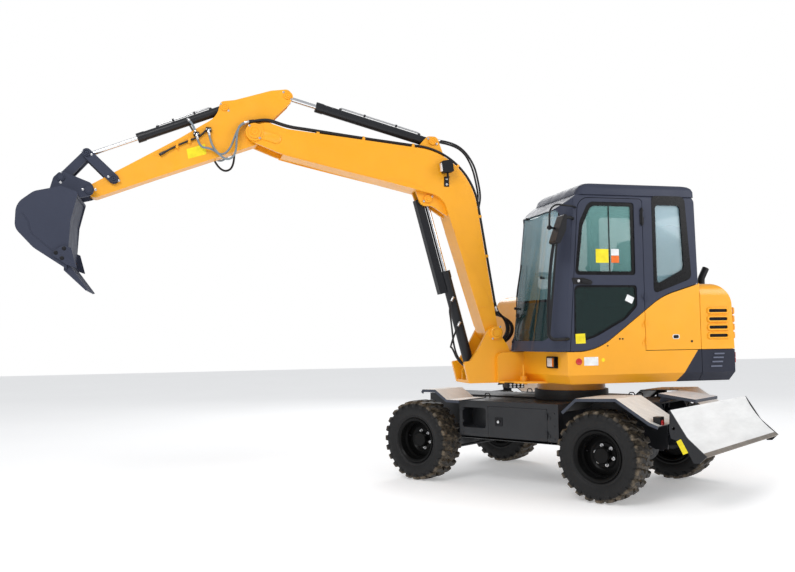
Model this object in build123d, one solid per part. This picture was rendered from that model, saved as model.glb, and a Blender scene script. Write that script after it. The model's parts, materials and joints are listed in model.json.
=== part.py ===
from build123d import *

import os
from math import atan2, cos, degrees, radians, sin, sqrt, tan

# Wheeled excavator of the six-tonne class, in millimetres.
# The superstructure's axes are the model's axes: +X runs along the boom, +Y to the cab side, +Z up.
# Everything is laid out about the slew axis at ground level, and moved at the end so that the origin
# is the middle of the whole machine's footprint. The undercarriage has axes of its own, +X towards
# the steered axle, and stands turned by CHASSIS_TURN under the superstructure.

# ---------------------------------------------------------------- driving dimensions
CHASSIS_TURN = -55.0            # degrees, undercarriage against superstructure
WHEELBASE = 2100.0
TRACK = 1600.0
REAR_AXLE_X = -760.0            # from the slew axis
TYRE_RADIUS = 415.0
TYRE_WIDTH = 305.0
RIM_RADIUS = 212.0              # bead seat
KINGPIN_INSET = 60.0            # kingpin inboard of the wheel's middle plane

UPPER_HALF_WIDTH = 930.0
UPPER_FLOOR = 1045.0            # underside of the superstructure
UPPER_SILL = 1345.0             # seam under the cab and the covers
TAIL_RADIUS = 1590.0
HOOD_TOP = 1985.0
HOOD_FRONT = -925.0
CAB_REAR = -905.0
CAB_ROOF = 2862.0
CAB_RIGHT = -30.0
CAB_WALL = 50.0

FOOT = (897.0, 1534.0)          # boom foot pin, x and z
BOOM_TIP = (3254.0, 3450.0)     # boom to arm pin
ARM_TIP = (4720.0, 2859.0)      # arm to bucket pin
ROCKER_PIN = (4515.0, 2970.0)   # rocker on the arm
ROCKER_TOP = (4747.0, 3199.0)   # rocker, link and bucket ram meet here
LINK_PIN = (4960.0, 2963.0)     # link on the bucket
BOOM_RAM = ((1100.0, 1170.0), (1545.0, 2871.0))
ARM_RAM = ((1490.0, 3452.0), (2934.0, 3832.0))
BUCKET_RAM = ((3527.0, 3688.0), ROCKER_TOP)
BOOM_WIDTH = 270.0
ARM_WIDTH = 160.0
BUCKET_WIDTH = 700.0
BLADE_PIVOT = (-1030.0, 500.0)  # undercarriage axes
BLADE_HALF_WIDTH = 950.0
BLADE_RAM = ((-985.0, 770.0), (-1440.0, 690.0))

HINGE_RADIUS = 9.0              # barrel hinges of the doors
HINGE_PIN = 5.0
HINGE_LEAF = 5.0
HINGE_REACH = 34.0
HINGE_HALF = 28.0               # half length of a barrel
PIN_GAP = 0.3                   # radial play of every pin in its bore
SEAT_GAP = 0.3                  # between pieces that rest on one another
SEAM = 6.0                      # gap round doors and lids
RUNNING = 4.0                   # side play between a lug and what swings in it
GLASS_GAP = 0.3
BOX_PLATE = 10.0                # plate of the welded boom and arm
ARC_SHARE = 0.45                # share of a tube's run that its bend may take

AXLE_X = (REAR_AXLE_X, REAR_AXLE_X + WHEELBASE)
HUB_Y = TRACK / 2
parts = {}


# ---------------------------------------------------------------- drawing helpers
def area(corners, radii=0):
    """A closed outline of straight sides; radii rounds all corners alike, or each by its own."""
    if radii == 0:
        return make_face(Polyline(*corners, close=True))
    return make_face(FilletPolyline(*corners, radius=radii, close=True))


def side_slab(corners, y_low, y_high, radii=0):
    """An outline in x and z, thick from y_low to y_high."""
    return extrude(Plane.XZ.offset(-y_high) * area(corners, radii), amount=y_high - y_low)


def plan_slab(corners, z_low, z_high, radii=0):
    """An outline in x and y, thick from z_low to z_high."""
    return extrude(Plane.XY.offset(z_low) * area(corners, radii), amount=z_high - z_low)


def cross_slab(corners, x_low, x_high, radii=0):
    """An outline in y and z, thick from x_low to x_high."""
    return extrude(Plane.YZ.offset(x_low) * area(corners, radii), amount=x_high - x_low)


def block(x_low, x_high, y_low, y_high, z_low, z_high):
    """A box between two corners."""
    size = (x_high - x_low, y_high - y_low, z_high - z_low)
    return Pos((x_low + x_high) / 2, (y_low + y_high) / 2, (z_low + z_high) / 2) * Box(*size)


def bar(centre, radius, y_low, y_high):
    """A round bar along y at centre (x, z)."""
    place = Pos(centre[0], (y_low + y_high) / 2, centre[1]) * Rot(90, 0, 0)
    return place * Cylinder(radius, y_high - y_low)


def post(x, y, radius, z_low, z_high):
    """A round bar along z."""
    return Pos(x, y, (z_low + z_high) / 2) * Cylinder(radius, z_high - z_low)


def rod(start, end, radius):
    """A round bar between two points in space."""
    run = Vector(*end) - Vector(*start)
    plane = Plane(origin=start, z_dir=run)
    return plane * Cylinder(radius, run.length, align=(Align.CENTER, Align.CENTER, Align.MIN))


def tube(points, radius, first_bend=None):
    """A round bar on straight runs and tangent arcs, the arcs as large as the runs allow."""
    bends = []
    for before, corner, after in zip(points, points[1:], points[2:]):
        run_in, run_out = Vector(*corner) - Vector(*before), Vector(*after) - Vector(*corner)
        half_turn = radians(run_in.get_angle(run_out)) / 2
        bends.append(ARC_SHARE * min(run_in.length, run_out.length) / tan(half_turn))
    if first_bend:
        bends[0] = first_bend
    path = FilletPolyline(*points, radius=bends)
    return sweep(Plane(origin=path @ 0, z_dir=path % 0) * Circle(radius), path=path)


def turned(outline, radii=0):
    """A solid of revolution about y, from an outline in radius and y."""
    return revolve(area(outline, radii), Axis.Y)


def both_sides(shape):
    """The shape and its mirror image across the plane y = 0."""
    return shape + mirror(shape, about=Plane.XZ)


def hull_plate(centre_a, radius_a, centre_b, radius_b, y_low, y_high):
    """A plate whose outline is two round bosses and their common tangents."""
    run = Vector(centre_b[0] - centre_a[0], centre_b[1] - centre_a[1])
    lean = degrees(atan2(run.Y, run.X))
    spread = degrees(atan2(radius_a - radius_b, sqrt(run.length**2 - (radius_a - radius_b) ** 2)))
    corners = []
    for side in (1, -1):
        turn = radians(lean + side * (90 - spread))
        ray = (cos(turn), sin(turn))
        ends = [(c[0] + r * ray[0], c[1] + r * ray[1])
                for c, r in ((centre_a, radius_a), (centre_b, radius_b))]
        corners += ends if side > 0 else ends[::-1]
    return (side_slab(corners, y_low, y_high)
            + bar(centre_a, radius_a, y_low, y_high)
            + bar(centre_b, radius_b, y_low, y_high))


def on_chassis(shape):
    """Turn a piece drawn in the undercarriage's axes to where it stands."""
    return Rot(0, 0, CHASSIS_TURN) * shape


def barrel_hinge(x, face_y, out, towards, levels):
    """Upright barrel hinges on a face at face_y whose outside is towards out; the moving leaf
    reaches along x in the direction towards. Returns the fixed halves and the moving halves."""
    axis_y = face_y + out * HINGE_RADIUS
    leaf_y = sorted((face_y, face_y + out * HINGE_LEAF))
    fixed, moving = Compound([]), Compound([])
    for z in levels:
        fixed += post(x, axis_y, HINGE_RADIUS, z - HINGE_HALF, z)
        fixed += post(x, axis_y, HINGE_PIN, z, z + HINGE_HALF)
        fixed += block(*sorted((x, x - towards * HINGE_REACH)), *leaf_y, z - HINGE_HALF, z)
        half = post(x, axis_y, HINGE_RADIUS, z + PIN_GAP, z + HINGE_HALF)
        half += block(*sorted((x, x + towards * HINGE_REACH)), *leaf_y, z + PIN_GAP, z + HINGE_HALF)
        moving += half - post(x, axis_y, HINGE_PIN + PIN_GAP, z, z + HINGE_HALF + 1)
    return fixed, moving


def lying_hinge(x, top_z, towards, places):
    """The same hinges lying on a level face at top_z, their axis along y, one at each of places."""
    fixed, moving = barrel_hinge(x, -top_z, -1, towards, places)
    return Rot(-90, 0, 0) * fixed, Rot(-90, 0, 0) * moving


def keep(name, *shapes):
    """Store one node: all its solids together."""
    solids = [solid for shape in shapes for solid in shape.solids()]
    parts[name] = Compound(solids) if len(solids) > 1 else solids[0]


# ---------------------------------------------------------------- wheels
SPINDLE_RADIUS = 42.0
SPINDLE_LENGTH = 62.0           # outboard of the knuckle
DISC_IN, DISC_OUT = -20.0, -8.0  # wheel disc, from the wheel's middle plane


def tyre():
    """A hollow carcass on its beads, its tread band outermost."""
    half = TYRE_WIDTH / 2
    bead, tread = RIM_RADIUS + 0.3, TYRE_RADIUS
    outline = [(bead, -116), (231, -119), (250, -137), (300, -half), (370, -half), (tread - 8, -132),
               (tread, -90), (tread, 90), (tread - 8, 132), (370, half), (300, half),
               (250, 137), (231, 119), (bead, 116), (bead, 92), (bead + 45, 112), (300, 126),
               (365, 122), (tread - 32, 100), (tread - 32, -100), (365, -122), (300, -126),
               (bead + 45, -112), (bead, -92)]
    return turned(outline)


def rim():
    """A deep dish rim with its disc, drive hub and hub cap, bored for the spindle."""
    barrel = [(RIM_RADIUS, -118), (RIM_RADIUS, 118), (228, 122), (228, 134), (216, 134),
              (202, 122), (190, 60), (178, 40), (178, -40), (200, -60), (200, -122),
              (216, -134), (228, -134), (228, -122)]
    disc = [(0, DISC_IN), (186, DISC_IN), (186, DISC_OUT), (132, DISC_OUT + 14),
            (110, DISC_OUT), (78, DISC_OUT), (74, 52), (66, 60), (0, 60)]
    bore = turned([(0, DISC_IN - 1), (SPINDLE_RADIUS + PIN_GAP, DISC_IN - 1),
                   (SPINDLE_RADIUS + PIN_GAP, 44), (0, 44)])
    return turned(barrel) + turned(disc) - bore


WHEELS = [  # name, axle, side
    ("front_left", 1, 1), ("front_right", 1, -1), ("rear_left", 0, 1), ("rear_right", 0, -1),
]


def make_wheels():
    """The four wheels, each a tyre and a rim."""
    for make, word in ((tyre, "tyre"), (rim, "rim")):
        left = make()
        right = mirror(left, about=Plane.XZ)
        for name, axle, side in WHEELS:
            shape = left if side > 0 else right
            keep(f"{word}_{name}", on_chassis(Pos(AXLE_X[axle], side * HUB_Y, TYRE_RADIUS) * shape))


# ---------------------------------------------------------------- axles and steering
TUBE_RADIUS = 58.0
DIFF_RADIUS = 150.0
FLANGE_Y = HUB_Y + DISC_IN - 4   # outboard face of the axle's end, clear of the wheel disc
KINGPIN_Y = HUB_Y - KINGPIN_INSET
KINGPIN_RADIUS = 18.0
FORK_BOSS = 33.0
KNUCKLE_HALF = 62.0              # half height of the knuckle between the fork's arms
FORK_PLATE = 26.0
TIE_ROD_BACK = 170.0             # behind the axle
TIE_ROD_Y = KINGPIN_Y - 130
ARM_LEVEL = 312.0                # height of the tie rod
LEVER_Z = (-58.0, -38.0)         # steering levers, from the wheel's centre
STUD_RADIUS = 9.0
EYE_HALF = 12.0                  # half height of the tie rod's eyes


def axle_beam(end_y):
    """Axle tubes and differential housing, up to end_y on both sides."""
    outline = [(0, -end_y), (TUBE_RADIUS, -end_y), (TUBE_RADIUS, -190), (DIFF_RADIUS, -70),
               (DIFF_RADIUS, 70), (TUBE_RADIUS, 190), (TUBE_RADIUS, end_y), (0, end_y)]
    return turned(outline, [0, 0, 60, 60, 60, 60, 0, 0])


def make_axles():
    """The rigid rear axle, the steered front axle, its knuckles and the tie rod."""
    brake = turned([(0, FLANGE_Y - 75), (112, FLANGE_Y - 75), (112, FLANGE_Y), (0, FLANGE_Y)],
                   [0, 12, 6, 0])
    spindle = bar((0, 0), SPINDLE_RADIUS, FLANGE_Y, FLANGE_Y + SPINDLE_LENGTH)
    rear = axle_beam(FLANGE_Y - 75) + both_sides(brake + spindle)
    keep("rear_axle", on_chassis(Pos(AXLE_X[0], 0, TYRE_RADIUS) * rear))

    fork_in = KINGPIN_Y - 75
    arms = []
    for level in (1, -1):
        low, high = sorted((level * (KNUCKLE_HALF + 1), level * (KNUCKLE_HALF + 1 + FORK_PLATE)))
        arms.append(block(-FORK_BOSS, FORK_BOSS, fork_in, KINGPIN_Y, low, high)
                    + post(0, KINGPIN_Y, FORK_BOSS, low, high))
    heel = block(-FORK_BOSS, FORK_BOSS, fork_in - 22, fork_in, -KNUCKLE_HALF - 1 - FORK_PLATE,
                 KNUCKLE_HALF + 1 + FORK_PLATE)
    fork = arms[0] + arms[1] + heel - post(0, KINGPIN_Y, KINGPIN_RADIUS + PIN_GAP, -150, 150)
    front = axle_beam(fork_in - 22) + both_sides(fork)
    keep("front_axle", on_chassis(Pos(AXLE_X[1], 0, TYRE_RADIUS) * front))

    drop = ARM_LEVEL - TYRE_RADIUS
    body = block(-40, 40, KINGPIN_Y - 40, FLANGE_Y, -KNUCKLE_HALF, KNUCKLE_HALF)
    pin = post(0, KINGPIN_Y, KINGPIN_RADIUS, -KNUCKLE_HALF - 36, KNUCKLE_HALF + 36)
    pin += post(0, KINGPIN_Y, 30, KNUCKLE_HALF + 1 + FORK_PLATE + 1, KNUCKLE_HALF + 44)
    pin += post(0, KINGPIN_Y, 30, -KNUCKLE_HALF - 44, -KNUCKLE_HALF - FORK_PLATE - 2)
    lever = plan_slab([(-TIE_ROD_BACK, TIE_ROD_Y - 22), (-TIE_ROD_BACK, TIE_ROD_Y + 22),
                       (-39, KINGPIN_Y + 25), (-39, KINGPIN_Y - 15)], *LEVER_Z)
    lever += post(-TIE_ROD_BACK, TIE_ROD_Y, 22, *LEVER_Z)
    # the left stud runs through the tie rod's eye, the right one ends above its eye
    studs = [post(-TIE_ROD_BACK, TIE_ROD_Y, STUD_RADIUS, low, LEVER_Z[0])
             for low in (drop - EYE_HALF - 2, drop + EYE_HALF + 1)]
    knuckle = body + pin + bar((0, 0), SPINDLE_RADIUS, FLANGE_Y, FLANGE_Y + SPINDLE_LENGTH)
    knuckle += lever
    place = Pos(AXLE_X[1], 0, TYRE_RADIUS)
    keep("knuckle_left", on_chassis(place * (knuckle + studs[0])))
    keep("knuckle_right", on_chassis(place * mirror(knuckle + studs[1], about=Plane.XZ)))

    ring = Cylinder(20, 2 * EYE_HALF) - Cylinder(STUD_RADIUS + PIN_GAP, 2 * EYE_HALF)
    ends = Pos(0, TIE_ROD_Y, 0) * ring
    link = bar((0, 0), 14, -TIE_ROD_Y + 18, TIE_ROD_Y - 18) + both_sides(ends)
    keep("tie_rod", on_chassis(Pos(AXLE_X[1] - TIE_ROD_BACK, 0, ARM_LEVEL) * link))


# ---------------------------------------------------------------- undercarriage
FRAME_TOP = 865.0
FRAME_HALF = 280.0
FRAME_PLATE = 14.0
FRAME_ENDS = (-1140.0, 1640.0)
BOX_BOTTOM, BOX_TOP = 460.0, 850.0
BOX_ENDS = (-300.0, 850.0)
BOX_OUT, BOX_IN = 800.0, FRAME_HALF
HATCH_X = (-180.0, 500.0)
HATCH_Z = (492.0, 800.0)
HATCH_THICK = 12.0
HATCH_HINGES = (560.0, 730.0)
NICHE_X, NICHE_Z = (520.0, 820.0), (570.0, 785.0)   # foothold in the tool box's side
NICHE_DEEP, NICHE_WALL = 190.0, 6.0
GEARBOX = (-130.0, 130.0, -110.0, 110.0, 420.0, 640.0)
SHAFT_RADIUS = 28.0
RING_RADIUS = 375.0
RING_WALL = 75.0
RING_TOP = 948.0                # fixed half of the slewing ring
TOW_PLACE = (1700.0, 620.0)     # tow lug's hole: x, and the lug's underside
TOW_THICK = 25.0
TOW_RADIUS = 21.0


def make_chassis():
    """Welded frame, side boxes with the tool hatch, drive line and slewing ring."""
    rear, front = FRAME_ENDS
    side = [(rear, FRAME_TOP - 150), (rear, 440), (rear + 120, 430), (AXLE_X[0] - 130, 505),
            (AXLE_X[0] - 100, 340), (AXLE_X[0] + 100, 340), (AXLE_X[0] + 150, 520),
            (AXLE_X[1] - 150, 520), (AXLE_X[1] - 100, 340), (AXLE_X[1] + 100, 340),
            (AXLE_X[1] + 130, 520), (front, 560), (front, FRAME_TOP), (rear + 60, FRAME_TOP)]
    cheek = side_slab(side, FRAME_HALF - FRAME_PLATE, FRAME_HALF)
    for x in AXLE_X:
        cheek -= bar((x, TYRE_RADIUS), TUBE_RADIUS + PIN_GAP, 0, 400)
    frame = both_sides(cheek)
    inner = FRAME_HALF - FRAME_PLATE
    frame += block(rear + 60, front, -inner, inner, FRAME_TOP - FRAME_PLATE, FRAME_TOP)
    for x in (-420, 420, 1040, front - FRAME_PLATE):
        frame += block(x, x + FRAME_PLATE, -inner, inner, 560, FRAME_TOP - FRAME_PLATE)
    frame += post(0, 0, RING_RADIUS + 5, FRAME_TOP - FRAME_PLATE, FRAME_TOP + 20)
    frame += post(0, 0, RING_RADIUS, FRAME_TOP + 20, RING_TOP)
    frame -= post(0, 0, RING_RADIUS - RING_WALL, FRAME_TOP - 40, RING_TOP + 1)
    # lugs for the blade and its ram
    for y in (-205, 205):
        frame += hull_plate(BLADE_PIVOT, 48, (BLADE_PIVOT[0] + 90, 520), 48, y - 61, y - 39)
        frame += hull_plate(BLADE_PIVOT, 48, (BLADE_PIVOT[0] + 90, 520), 48, y + 39, y + 61)
    frame += block(-955, -955 + FRAME_PLATE, -inner, inner, 445, 620)
    base = BLADE_RAM[0]
    for y in (-62, 40):
        frame += hull_plate(base, 34, (base[0], FRAME_TOP - 40), 38, y, y + 22)
    frame += bar(base, 18, -66, 66)
    for y in (-205, 205):
        frame += bar(BLADE_PIVOT, 24, y - 61, y + 61)
    tow_x, tow_z = TOW_PLACE
    frame += block(front, tow_x, -45, 45, tow_z, tow_z + TOW_THICK)
    frame += post(tow_x, 0, 45, tow_z, tow_z + TOW_THICK)
    frame -= post(tow_x, 0, TOW_RADIUS, tow_z - 1, tow_z + TOW_THICK + 1)
    keep("chassis_frame", on_chassis(frame))

    left_box = cross_slab([(BOX_IN, BOX_TOP), (BOX_IN, BOX_BOTTOM), (BOX_OUT, BOX_BOTTOM),
                           (BOX_OUT, BOX_TOP)], *BOX_ENDS, [0, 20, 60, 0])
    hollow = block(BOX_ENDS[0] + 8, BOX_ENDS[1] - 8, BOX_IN + 8, BOX_OUT - 8,
                   BOX_BOTTOM + 8, BOX_TOP - 8)
    mouth = block(*HATCH_X, BOX_OUT - 30, BOX_OUT + 10, *HATCH_Z)
    fixed, moving = barrel_hinge(HATCH_X[0], BOX_OUT, 1, 1, HATCH_HINGES)
    foothold = [(NICHE_X[0], NICHE_Z[0]), (NICHE_X[1], NICHE_Z[0]), (NICHE_X[1], NICHE_Z[1]),
                (NICHE_X[0], NICHE_Z[1])]
    liner = side_slab(foothold, BOX_OUT - NICHE_DEEP, BOX_OUT, 35)
    room = extrude(Plane.XZ.offset(-BOX_OUT - 1) * offset(area(foothold, 35), -NICHE_WALL),
                   amount=NICHE_DEEP - NICHE_WALL + 1)
    keep("tool_box", on_chassis(left_box - hollow - mouth + liner - room + fixed))
    keep("tank_box", on_chassis(mirror(left_box - hollow, about=Plane.XZ)))
    hatch = side_slab([(HATCH_X[0] + 3, HATCH_Z[0] + 3), (HATCH_X[1] - 3, HATCH_Z[0] + 3),
                       (HATCH_X[1] - 3, HATCH_Z[1] - 3), (HATCH_X[0] + 3, HATCH_Z[1] - 3)],
                      BOX_OUT - HATCH_THICK, BOX_OUT, 12)
    keep("tool_box_door", on_chassis(hatch + moving))

    gearbox = block(*GEARBOX)
    drive = gearbox + block(-30, 30, -inner, inner, GEARBOX[5] - 40, GEARBOX[5] - 15)
    level = TYRE_RADIUS + 15
    for axle, flange in zip(AXLE_X, (GEARBOX[0] + 5, GEARBOX[1] - 5)):
        inward = 1 if axle < 0 else -1
        drive += rod((axle + inward * (DIFF_RADIUS - 5), 0, TYRE_RADIUS), (flange, 0, level), SHAFT_RADIUS)
        drive -= bar((axle, TYRE_RADIUS), DIFF_RADIUS + SEAT_GAP, -60, 60)
    keep("drive_shafts", on_chassis(drive))


FENDER_PLATE = 8.0
STAY_WIDTH = 110.0
REAR_FENDER = ((-415, 800), (-563, 925), (-960, 940), (-1270, 748), (-1345, 722))
FRONT_FENDER = ((750, 858.3), (900, 858.3), (1045, 955), (1215, 952), (1235, 925))
REAR_FENDER_Y = (430.0, 950.0)
FRONT_FENDER_Y = (480.0, 950.0)
LIP_WIDE, LIP_DEEP = 16.0, 28.0
REAR_STEP = ((-1060.0, 950.0), (-1410.0, 905.0))
STEP_HALF = 270.0


def bent_plate(points, y_low, y_high, thick=FENDER_PLATE):
    """A plate that follows points (x, z) from end to end, hanging below them."""
    under = []
    for i, (x, z) in enumerate(points):
        before = points[max(i - 1, 0)]
        after = points[min(i + 1, len(points) - 1)]
        run = Vector(after[0] - before[0], after[1] - before[1]).normalized()
        drop = -1 if run.X > 0 else 1
        under.append((x - drop * run.Y * thick, z + drop * run.X * thick))
    return side_slab(list(points) + under[::-1], y_low, y_high)


def above(points, y_low, y_high):
    """Everything above a line of points (x, z)."""
    return side_slab(list(points) + [(points[-1][0], 2000), (points[0][0], 2000)], y_low, y_high)


def make_fenders():
    """Mudguards on their stays, and the tail lamps."""
    rear = bent_plate(REAR_FENDER, *REAR_FENDER_Y)
    front = bent_plate(FRONT_FENDER, *FRONT_FENDER_Y)
    rear += bent_plate(REAR_FENDER, REAR_FENDER_Y[1] - LIP_WIDE, REAR_FENDER_Y[1], LIP_DEEP)
    front += bent_plate(FRONT_FENDER, FRONT_FENDER_Y[1] - LIP_WIDE, FRONT_FENDER_Y[1], LIP_DEEP)
    keep("rear_fenders", on_chassis(both_sides(rear)))
    keep("front_fenders", on_chassis(both_sides(front)))
    stays = []
    for points, fender, y, x in ((REAR_FENDER, rear, REAR_FENDER_Y[0], -820),
                                 (FRONT_FENDER, front, FRONT_FENDER_Y[0], 1080)):
        foot = block(x, x + STAY_WIDTH, FRAME_HALF, y + 60, FRAME_TOP - 10, FRAME_TOP)
        leg = block(x, x + STAY_WIDTH, y + 50, y + 60, FRAME_TOP, FRAME_TOP + 110)
        stays.append(foot + (leg - fender - above(points, 0, 1000)))
    keep("fender_stays", on_chassis(both_sides(stays[0] + stays[1])))
    lamp = block(-1335, -1262, 800, 880, 700, 792) & above(REAR_FENDER[3:], 0, 1000)
    keep("tail_lamps", on_chassis(both_sides(lamp)))

    (near_x, near_z), (far_x, far_z) = REAR_STEP
    step = bent_plate(REAR_STEP, -STEP_HALF, STEP_HALF)
    for y in (-STEP_HALF, STEP_HALF - LIP_WIDE):
        step += bent_plate(REAR_STEP, y, y + LIP_WIDE, LIP_DEEP)
    step += block(far_x, far_x + LIP_WIDE, -STEP_HALF, STEP_HALF, far_z - LIP_DEEP, far_z)
    gusset = side_slab([(near_x + 50, FRAME_TOP), (near_x - 18, FRAME_TOP), (near_x - 180, near_z - 30),
                        (near_x - 2, near_z - 7)], 140, 150)
    keep("rear_step", on_chassis(step + both_sides(gusset)))


# ---------------------------------------------------------------- blade
BLADE_TOP = (-1449.0, 863.0)
BLADE_BELLY = (-1572.0, 662.0)
BLADE_EDGE = (-1751.0, 497.0)
BLADE_PLATE = 14.0
BLADE_CHEEK = 14.0
TIE_HOLE = ((-1478.0, 712.0), 14.0)   # in each blade side plate: x and z, radius


def make_blade():
    """The curved mouldboard with its side plates, push arms and ram."""
    back = Vector(0.80, -0.60) * BLADE_PLATE
    front_face = ThreePointArc(BLADE_TOP, BLADE_BELLY, BLADE_EDGE)
    shifted = [(p[0] + back.X, p[1] + back.Y) for p in (BLADE_TOP, BLADE_BELLY, BLADE_EDGE)]
    rear_face = ThreePointArc(*shifted)
    face = make_face([front_face.edge(), Line(front_face @ 1, rear_face @ 1).edge(),
                      rear_face.edge(), Line(rear_face @ 0, front_face @ 0).edge()])
    board = extrude(Plane.XZ.offset(-BLADE_HALF_WIDTH) * face, amount=2 * BLADE_HALF_WIDTH)
    cheek_outline = [BLADE_TOP, (-1590, 640), BLADE_EDGE, (-1692, 439), (-1642, 435),
                     (-1611, 493), (-1545, 600), (-1454, 628), (-1440, 694)]
    cheek = side_slab(cheek_outline, BLADE_HALF_WIDTH - BLADE_CHEEK, BLADE_HALF_WIDTH)
    cheek -= bar(TIE_HOLE[0], TIE_HOLE[1], 0, 1000)
    ahead = make_face([front_face.edge(), Line(front_face @ 1, (-2100, BLADE_EDGE[1])).edge(),
                       Line((-2100, BLADE_EDGE[1]), (-2100, BLADE_TOP[1])).edge(),
                       Line((-2100, BLADE_TOP[1]), front_face @ 0).edge()])
    ahead = extrude(Plane.XZ.offset(-600) * ahead, amount=1200)
    blade = board + both_sides(cheek)
    for y in (-205, 205):
        arm = hull_plate(BLADE_PIVOT, 44, (-1572, 596), 62, y - 35, y + 35)
        blade += arm - ahead - bar(BLADE_PIVOT, 24 + PIN_GAP, y - 40, y + 40)
    tip = BLADE_RAM[1]
    for y in (-62, 40):
        blade += hull_plate(tip, 32, (-1530, 690), 40, y, y + 22) - ahead
    keep("blade", on_chassis(blade))


# ---------------------------------------------------------------- superstructure
SKIRT_BREAK = 1130.0            # where the skirt turns in towards the floor
SKIRT_TURN_IN = 60.0
FLOOR_PLATE = 14.0
SKIRT_WALL = 25.0
FRONT_CORNER = (482.0, 626.0)   # x at the side and beside the boom bracket
BRACKET_HALF = 250.0
WEIGHT_INNER = 1395.0
HOOD_LIFT = 6.0                 # the hood's lower edge above the counterweight, on two buffers
GROOVE_X, GROOVE_DEEP = (-928.0, -922.0), 8.0
RIDGES = [  # start x, end x, height
    (-1060, -1170, 1305), (-1047, -1160, 1268), (-1034, -1150, 1228), (-1020, -1140, 1185),
]
RIDGE_HALF, RIDGE_PROUD = 7.0, 7.0
LAMP_PLACE = (705.0, 1247.0)    # headlamp's middle: y and height
LAMP_SIZE = (174.0, 112.0)
LOCK_PLACE = (668.0, 335.0)     # slew lock pin: x and y
WEIGHT_SPLIT = (-671.0, -860.0)  # where the counterweight begins, at the floor and at the sill


def platform_outline(inset):
    """Plan of the superstructure, inset all round."""
    half = UPPER_HALF_WIDTH - inset
    tail = TAIL_RADIUS - inset
    back = -sqrt(tail**2 - half**2)
    side_x, middle_x = FRONT_CORNER[0] - inset, FRONT_CORNER[1] - inset
    edges = [
        Line((side_x, half), (back, half)),
        ThreePointArc((back, half), (-tail, 0), (back, -half)),
        Line((back, -half), (side_x, -half)),
        Line((side_x, -half), (middle_x, -BRACKET_HALF)),
        Line((middle_x, -BRACKET_HALF), (middle_x, BRACKET_HALF)),
        Line((middle_x, BRACKET_HALF), (side_x, half)),
    ]
    return make_face([line.edge() for line in edges])


def platform_body(inset, low):
    """The superstructure below the sill: straight above the break, drawn in below it."""
    upper = extrude(Plane.XY.offset(SKIRT_BREAK) * platform_outline(inset),
                    amount=UPPER_SILL - SKIRT_BREAK)
    lower = loft([Plane.XY.offset(low) * platform_outline(inset + SKIRT_TURN_IN),
                  Plane.XY.offset(SKIRT_BREAK) * platform_outline(inset)], ruled=True)
    return upper + lower


def make_platform():
    """Floor and skirt in one, the counterweight behind it, and the boom's bracket."""
    body = platform_body(0, UPPER_FLOOR)
    floor_in = UPPER_FLOOR + FLOOR_PLATE
    hollow = platform_body(SKIRT_WALL, floor_in)
    lean = (WEIGHT_SPLIT[0] - WEIGHT_SPLIT[1]) / 266.0
    top_x = WEIGHT_SPLIT[1] - lean * (UPPER_SILL - 1311 + 1)
    low_x = WEIGHT_SPLIT[0] + lean * 5
    rear_zone = side_slab([(low_x, UPPER_FLOOR - 5), (top_x, UPPER_SILL + 1), (-2000, UPPER_SILL + 1),
                           (-2000, UPPER_FLOOR - 5)], -1000, 1000)
    rear_hollow = (hollow & rear_zone) & post(0, 0, WEIGHT_INNER, UPPER_FLOOR, UPPER_SILL + 1)
    front = body - rear_zone - hollow
    weight = (body & rear_zone) - rear_hollow
    floor = platform_body(SKIRT_WALL, UPPER_FLOOR) & rear_zone
    floor &= post(0, 0, WEIGHT_INNER, UPPER_FLOOR, floor_in)
    for turn in (-22, 22):
        weight += Rot(0, 0, turn) * post(-TAIL_RADIUS + 14, 0, 9, UPPER_SILL,
                                         UPPER_SILL + HOOD_LIFT - SEAT_GAP)
    groove = block(*GROOVE_X, -1000, 1000, UPPER_FLOOR - 1, UPPER_SILL + 1)
    weight -= groove - platform_body(GROOVE_DEEP, UPPER_FLOOR - 2)
    for start, end, level in RIDGES:
        weight += both_sides(block(end, start, UPPER_HALF_WIDTH - 4, UPPER_HALF_WIDTH + RIDGE_PROUD,
                                   level - RIDGE_HALF, level + RIDGE_HALF))
    keep("counterweight", weight - floor)
    race_low = RING_TOP + SEAT_GAP
    race = post(0, 0, RING_RADIUS - 30, race_low, UPPER_FLOOR)
    race += post(0, 0, RING_RADIUS - RING_WALL - RUNNING, FRAME_TOP + 8, race_low)
    race -= post(0, 0, 120, FRAME_TOP, floor_in + 1)
    deck = front + floor - post(0, 0, 120, UPPER_FLOOR - 1, floor_in + 1) + race
    flange = plan_slab([(440, BRACKET_HALF), (892, BRACKET_HALF), (892, 274), (717, 458), (560, 520),
                        (440, 520)], UPPER_FLOOR - 5, floor_in, [0, 0, 12, 60, 60, 0])
    lock = post(*LOCK_PLACE, 36, UPPER_FLOOR - 20, UPPER_FLOOR + 60)
    lock += post(*LOCK_PLACE, 10, UPPER_FLOOR + 60, UPPER_FLOOR + 170)
    deck += both_sides(flange) + lock
    # headlamps let into the slanting front faces
    side_x, middle_x = FRONT_CORNER
    side_y, middle_y = UPPER_HALF_WIDTH, BRACKET_HALF
    slope = (middle_x - side_x) / (side_y - middle_y)
    lamp_at = Pos(side_x + (side_y - LAMP_PLACE[0]) * slope, LAMP_PLACE[0], LAMP_PLACE[1])
    lamp_at *= Rot(0, 0, degrees(atan2(slope, 1)))
    deck -= both_sides(lamp_at * Box(90, *LAMP_SIZE))
    lens = lamp_at * Pos(-19, 0, 0) * Box(30, LAMP_SIZE[0] - 2 * SEAT_GAP, LAMP_SIZE[1] - 2 * SEAT_GAP)
    keep("headlamps", both_sides(lens))
    keep("upper_deck", deck - block(500, 700, -BRACKET_HALF, BRACKET_HALF, UPPER_FLOOR - 1, UPPER_SILL + 1))


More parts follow.
